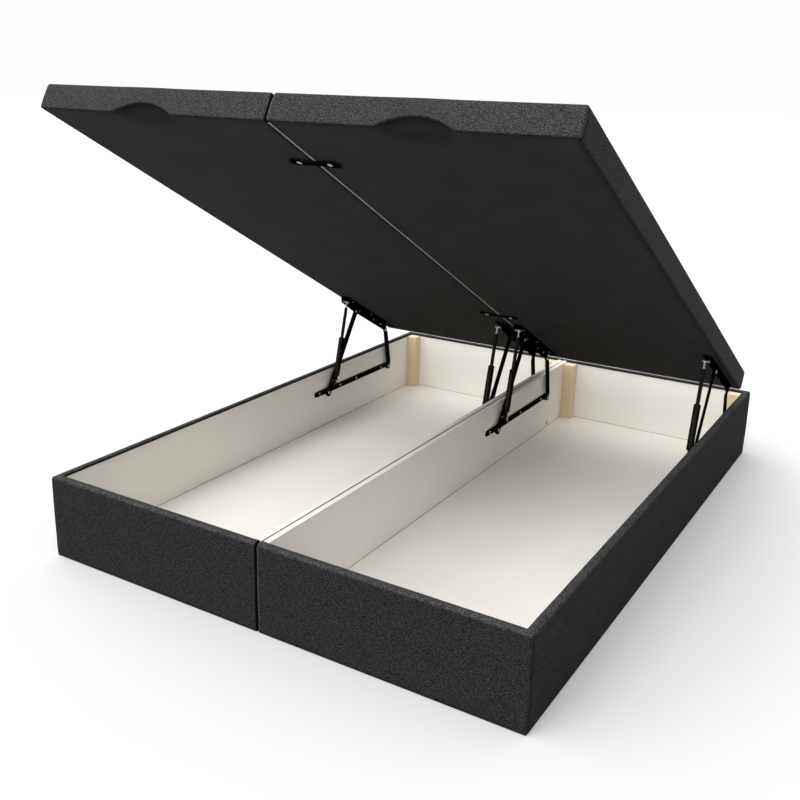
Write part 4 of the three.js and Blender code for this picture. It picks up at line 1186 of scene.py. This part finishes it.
def build_mottle():
    """Noise, mapped so that 0 to 1 spans its usual range, for uneven colour and gloss."""
    sockets = {"Vector": VECTOR, "Scale": FLOAT, "Detail": FLOAT}
    group, given, result = new_group("mottle", sockets, {"Value": FLOAT})
    value = noise(group, given["Vector"], given["Scale"], given["Detail"])
    spread = add_node(group, "MapRange", {0: value, 1: 0.3, 2: 0.7})
    group.links.new(spread.outputs[0], result["Value"])
    return group


weave_group = build_weave()
mottle_group = build_mottle()


def mottle(tree, vector, scale, detail):
    """Places the mottle group."""
    values = {"Vector": vector, "Scale": scale, "Detail": detail}
    return add_node(tree, "Group", values, node_tree=mottle_group).outputs["Value"]


# %% Charcoal cloth and black lining
YARNS_PER_METRE = 460.0
# How much lighter the painted highlight makes the weave.
HIGHLIGHT_GAIN = 2.9


def charcoal_cloth(name, dark, light):
    """Weave colour, darkened towards black as painted shade (on the seam tape, as its own dark tone)
    and lightened as a painted highlight, where the per-point value says, with the weave's height
    as bump."""
    material, tree, shader = new_material(
        name, Roughness=0.95, Specular_IOR_Level=0.04, Sheen_Weight=0.015, Sheen_Roughness=0.4
    )
    cloth, crease = cloth_place(tree)
    weave = add_node(tree, "Group", {
        "Vector": cloth, "Yarns per metre": YARNS_PER_METRE, "Dark": dark, "Light": light,
    }, node_tree=weave_group).outputs
    # Painted shade and painted highlight from the per-point value.
    painted_shade_and_tone = math_node(tree, "MULTIPLY", crease, 0.78, clamp=True)
    painted_highlight = math_node(tree, "MULTIPLY", crease, -1.0, clamp=True)
    values = {0: weave["Color"], "Scale": HIGHLIGHT_GAIN}
    highlight_colour = add_node(tree, "VectorMath", values, operation="SCALE").outputs[0]
    tint = mix_colour(tree, painted_highlight, weave["Color"], highlight_colour)
    tint = mix_colour(tree, painted_shade_and_tone, tint, colour(5, 5, 5))
    finish(tree, shader, tint, weave["Height"], distance=0.0006, strength=0.7)
    return material


def black_lining():
    """Nearly black fibres: fine noise as bump, faint unevenness in the colour."""
    material, tree, shader = new_material("black lining", Roughness=0.95, Specular_IOR_Level=0.06)
    cloth, crease = cloth_place(tree)
    fibres = noise(tree, cloth, scale=900.0, detail=3.0)
    uneven = mottle(tree, cloth, scale=9.0, detail=5.0)
    tint = mix_colour(tree, uneven, colour(34, 33, 31), colour(40, 39, 37))
    tint = mix_colour(tree, math_node(tree, "MULTIPLY", fibres, 0.35), tint, colour(24, 24, 23))
    # Painted shade from the per-point value: along the hem and in the grip's hollow.
    tint = mix_colour(tree, math_node(tree, "MULTIPLY", crease, 0.6), tint, colour(8, 8, 8))
    finish(tree, shader, tint, fibres, distance=0.0003, strength=0.5)
    return material


# %% White board and wood
JOINT_SHADE_REACH = 0.0022


def white_board():
    """Coated board: a warm off-white with faint clouds, a fine pearl texture and low gloss. Near the
    middle line, where the two divider boards face each other, the colour is painted dark brown:
    painted shade in the deep joint between them."""
    material, tree, shader = new_material("white board")
    place = object_place(tree)
    clouds = mottle(tree, place, scale=3.0, detail=3.0)
    tint = mix_colour(tree, clouds, colour(238, 234, 227), colour(243, 240, 234))
    # Painted shade: a dark brown band within a couple of millimetres of the middle line.
    from_middle = add_node(tree, "SeparateXYZ", {0: place}).outputs[0]
    from_middle = math_node(tree, "ABSOLUTE", from_middle)
    joint_shade = math_node(tree, "LESS_THAN", from_middle, JOINT_SHADE_REACH)
    tint = mix_colour(tree, joint_shade, tint, colour(30, 26, 22))
    rough = spread_to(tree, clouds, 0.40, 0.52)
    pearl = noise(tree, place, scale=700.0, detail=2.0)
    finish(tree, shader, tint, pearl, distance=0.0002, strength=0.12, rough=rough)
    return material


def build_grain():
    """Grain along Z: rings from a distorted noise, stretched far along the wood, plus pores."""
    group, given, result = new_group(
        "wood grain",
        {"Vector": VECTOR, "Light": COLOUR, "Dark": COLOUR},
        {"Color": COLOUR, "Height": FLOAT},
    )
    long = add_node(group, "Mapping", {0: given["Vector"], 3: (1.0, 1.0, 0.06)}).outputs[0]
    rings = math_node(group, "MULTIPLY", noise(group, long, 26.0, 2.0, 0.4), 60.0)
    bands = math_node(group, "MULTIPLY_ADD", math_node(group, "SINE", rings), 0.5, 0.5)
    bands = math_node(group, "MULTIPLY", bands, 0.5)
    mixed = math_node(group, "MULTIPLY_ADD", noise(group, long, 900.0, 2.0), 0.5, bands)
    group.links.new(mix_colour(group, mixed, given["Light"], given["Dark"]), result["Color"])
    group.links.new(mixed, result["Height"])
    return group


def pine():
    """Planed softwood."""
    material, tree, shader = new_material("pine", Roughness=0.6)
    grain = add_node(tree, "Group", {
        "Vector": object_place(tree), "Light": colour(229, 208, 175), "Dark": colour(215, 192, 153),
    }, node_tree=build_grain()).outputs
    finish(tree, shader, grain["Color"], grain["Height"], distance=0.0003, strength=0.25)
    return material


def raw_board():
    """Pressed wood chips: cells of different browns."""
    material, tree, shader = new_material("raw board", Roughness=0.8)
    values = {"Vector": object_place(tree), "Scale": 320.0}
    chips = add_node(tree, "TexVoronoi", values).outputs["Distance"]
    shade = math_node(tree, "MULTIPLY", chips, 1.2, clamp=True)
    tint = mix_colour(tree, shade, colour(190, 158, 112), colour(120, 92, 60))
    finish(tree, shader, tint, chips, distance=0.0004, strength=0.4)
    return material


# %% Metals and plastic
def two_tone(name, pattern, sizes, low, high, strength, gloss=None, peel=None, **shader_values):
    """A material between two tones, as its pattern says. Its gloss may follow the pattern, and its
    fine bump is the pattern too, or an orange peel of its own scale."""
    material, tree, shader = new_material(name, **shader_values)
    place = object_place(tree)
    uneven = pattern(tree, place, *sizes)
    height = noise(tree, place, peel, 1.0) if peel else uneven
    rough = spread_to(tree, uneven, *gloss) if gloss else None
    tint = mix_colour(tree, uneven, colour(*low), colour(*high))
    finish(tree, shader, tint, height, distance=0.0001, strength=strength, rough=rough)
    return material


# %% [markdown]
# The black steel is oiled: its own colour is nearly black, and so is the colour at its edges.
# The screws and pins are zinc-plated. The lid's cloth is the base's cloth painted in a lighter tone:
# the lighter copy stands in for the stronger light from above on the lid.

# %% Give every piece its finish
finishes = {
    "charcoal_fabric": charcoal_cloth("charcoal cloth", colour(7, 7, 7), colour(65, 65, 65)),
    # The lid's copy of the cloth is painted lighter than the base's, for the light from above.
    "lid_cloth": charcoal_cloth("charcoal cloth of the lid", colour(31, 31, 32), colour(88, 88, 89)),
    "black_lining": black_lining(),
    "white_board": white_board(),
    "pine": pine(),
    "raw_board": raw_board(),
    "black_steel": two_tone(
        "black steel", mottle, (60.0, 4.0), (20, 19, 17), (36, 34, 31), 0.25, (0.34, 0.48), 1500.0,
        Metallic=1.0, Specular_Tint=(0.06, 0.06, 0.06, 1.0),
    ),
    "bright_steel": two_tone(
        "bright steel", mottle, (200.0, 3.0), (140, 139, 138), (184, 183, 182), 0.2, (0.22, 0.4),
        Metallic=1.0,
    ),
    "black_plastic": two_tone(
        "black plastic", noise, (2500.0, 2.0), (18, 18, 18), (32, 32, 32), 0.4, Roughness=0.55
    ),
    "seam_tape": charcoal_cloth("pale tape", colour(110, 110, 110), colour(218, 218, 216)),
}
node_slots = {part["node"]: part["material_slot"] for part in frame["record"]["subparts"]}


def dress(piece, finish_name):
    """Puts one material in every material slot of a piece."""
    materials = piece.data.materials
    if not materials:
        materials.append(finishes[finish_name])
    for index in range(len(materials)):
        materials[index] = finishes[finish_name]


for node_name, piece in frame["nodes"].items():
    dress(piece, node_slots[node_name])
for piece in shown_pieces():
    if "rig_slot" in piece:
        dress(piece, "lid_cloth" if piece.name.startswith("lid_upholstery") else piece["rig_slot"])
dress(tape, "seam_tape")
print("finishes:", ", ".join(finishes))

# %% [markdown]
# ## Floor and light
#
# The photograph is a studio picture: a white floor that runs into a white background, and soft
# light from all round that keeps the shadows thin, strongest from high in front. Each light is a
# wide lobe in the sky's brightness. The camera itself sees a plain white background.

# %% Floor
FLOOR_SIZE = 40.0
FLOOR_TONES = (0.605, 0.611)

floor_mesh = bpy.data.meshes.new("floor")
floor_corners = [(x * FLOOR_SIZE, y * FLOOR_SIZE, 0.0) for x, y in ((-1, -1), (1, -1), (1, 1), (-1, 1))]
floor_mesh.from_pydata(floor_corners, [], [(0, 1, 2, 3)])
floor = bpy.data.objects.new("floor", floor_mesh)
scene.collection.objects.link(floor)
floor_material, tree, shader = new_material("studio floor", Roughness=0.9, Specular_IOR_Level=0.0)
clouds = mottle(tree, object_place(tree), scale=0.4, detail=2.0)
finish(tree, shader, mix_colour(tree, clouds, *((tone, tone, tone, 1) for tone in FLOOR_TONES)))
floor_mesh.materials.append(floor_material)

# %% Soft light from all round
WHITE_BACKGROUND = 0.985
LIGHT_LOBES = (
    ("above", (0.0, 0.0, 1.0), 4.0, 1.61),
    ("high in front", (-0.17, -0.80, 0.60), 6.0, 4.52),
    ("left", (-1.0, 0.0, 0.75), 4.0, 1.68),
    ("high behind", (0.0, 0.80, 0.60), 4.0, 0.89),
    ("right", (0.75, -0.15, 1.0), 4.0, 0.46),
)

world = bpy.data.worlds.new("studio")
scene.world = world
world.use_nodes = True
sky = world.node_tree
sky.nodes.clear()
direction = add_node(sky, "TexCoord").outputs["Generated"]


def lobe(towards, power, strength):
    """Strength · (cosine of the angle from a direction, not below 0) to a power."""
    unit = np.array(towards) / np.linalg.norm(towards)
    values = {0: direction, 1: unit.tolist()}
    cosine = add_node(sky, "VectorMath", values, operation="DOT_PRODUCT").outputs["Value"]
    facing = math_node(sky, "MAXIMUM", cosine, 0.0)
    return math_node(sky, "MULTIPLY", math_node(sky, "POWER", facing, power), strength)


strength = 0.0
for _, towards, power, amount in LIGHT_LOBES:
    strength = math_node(sky, "ADD", strength, lobe(towards, power, amount))
light_sky, seen_sky = (
    add_node(sky, "Background", {"Color": (1, 1, 1, 1), "Strength": value}).outputs[0]
    for value in (strength, WHITE_BACKGROUND)
)
to_camera = add_node(sky, "LightPath").outputs["Is Camera Ray"]
both = add_node(sky, "MixShader", {0: to_camera, 1: light_sky, 2: seen_sky})
add_node(sky, "OutputWorld", {"Surface": both.outputs[0]})
scene.view_settings.view_transform = "Standard"
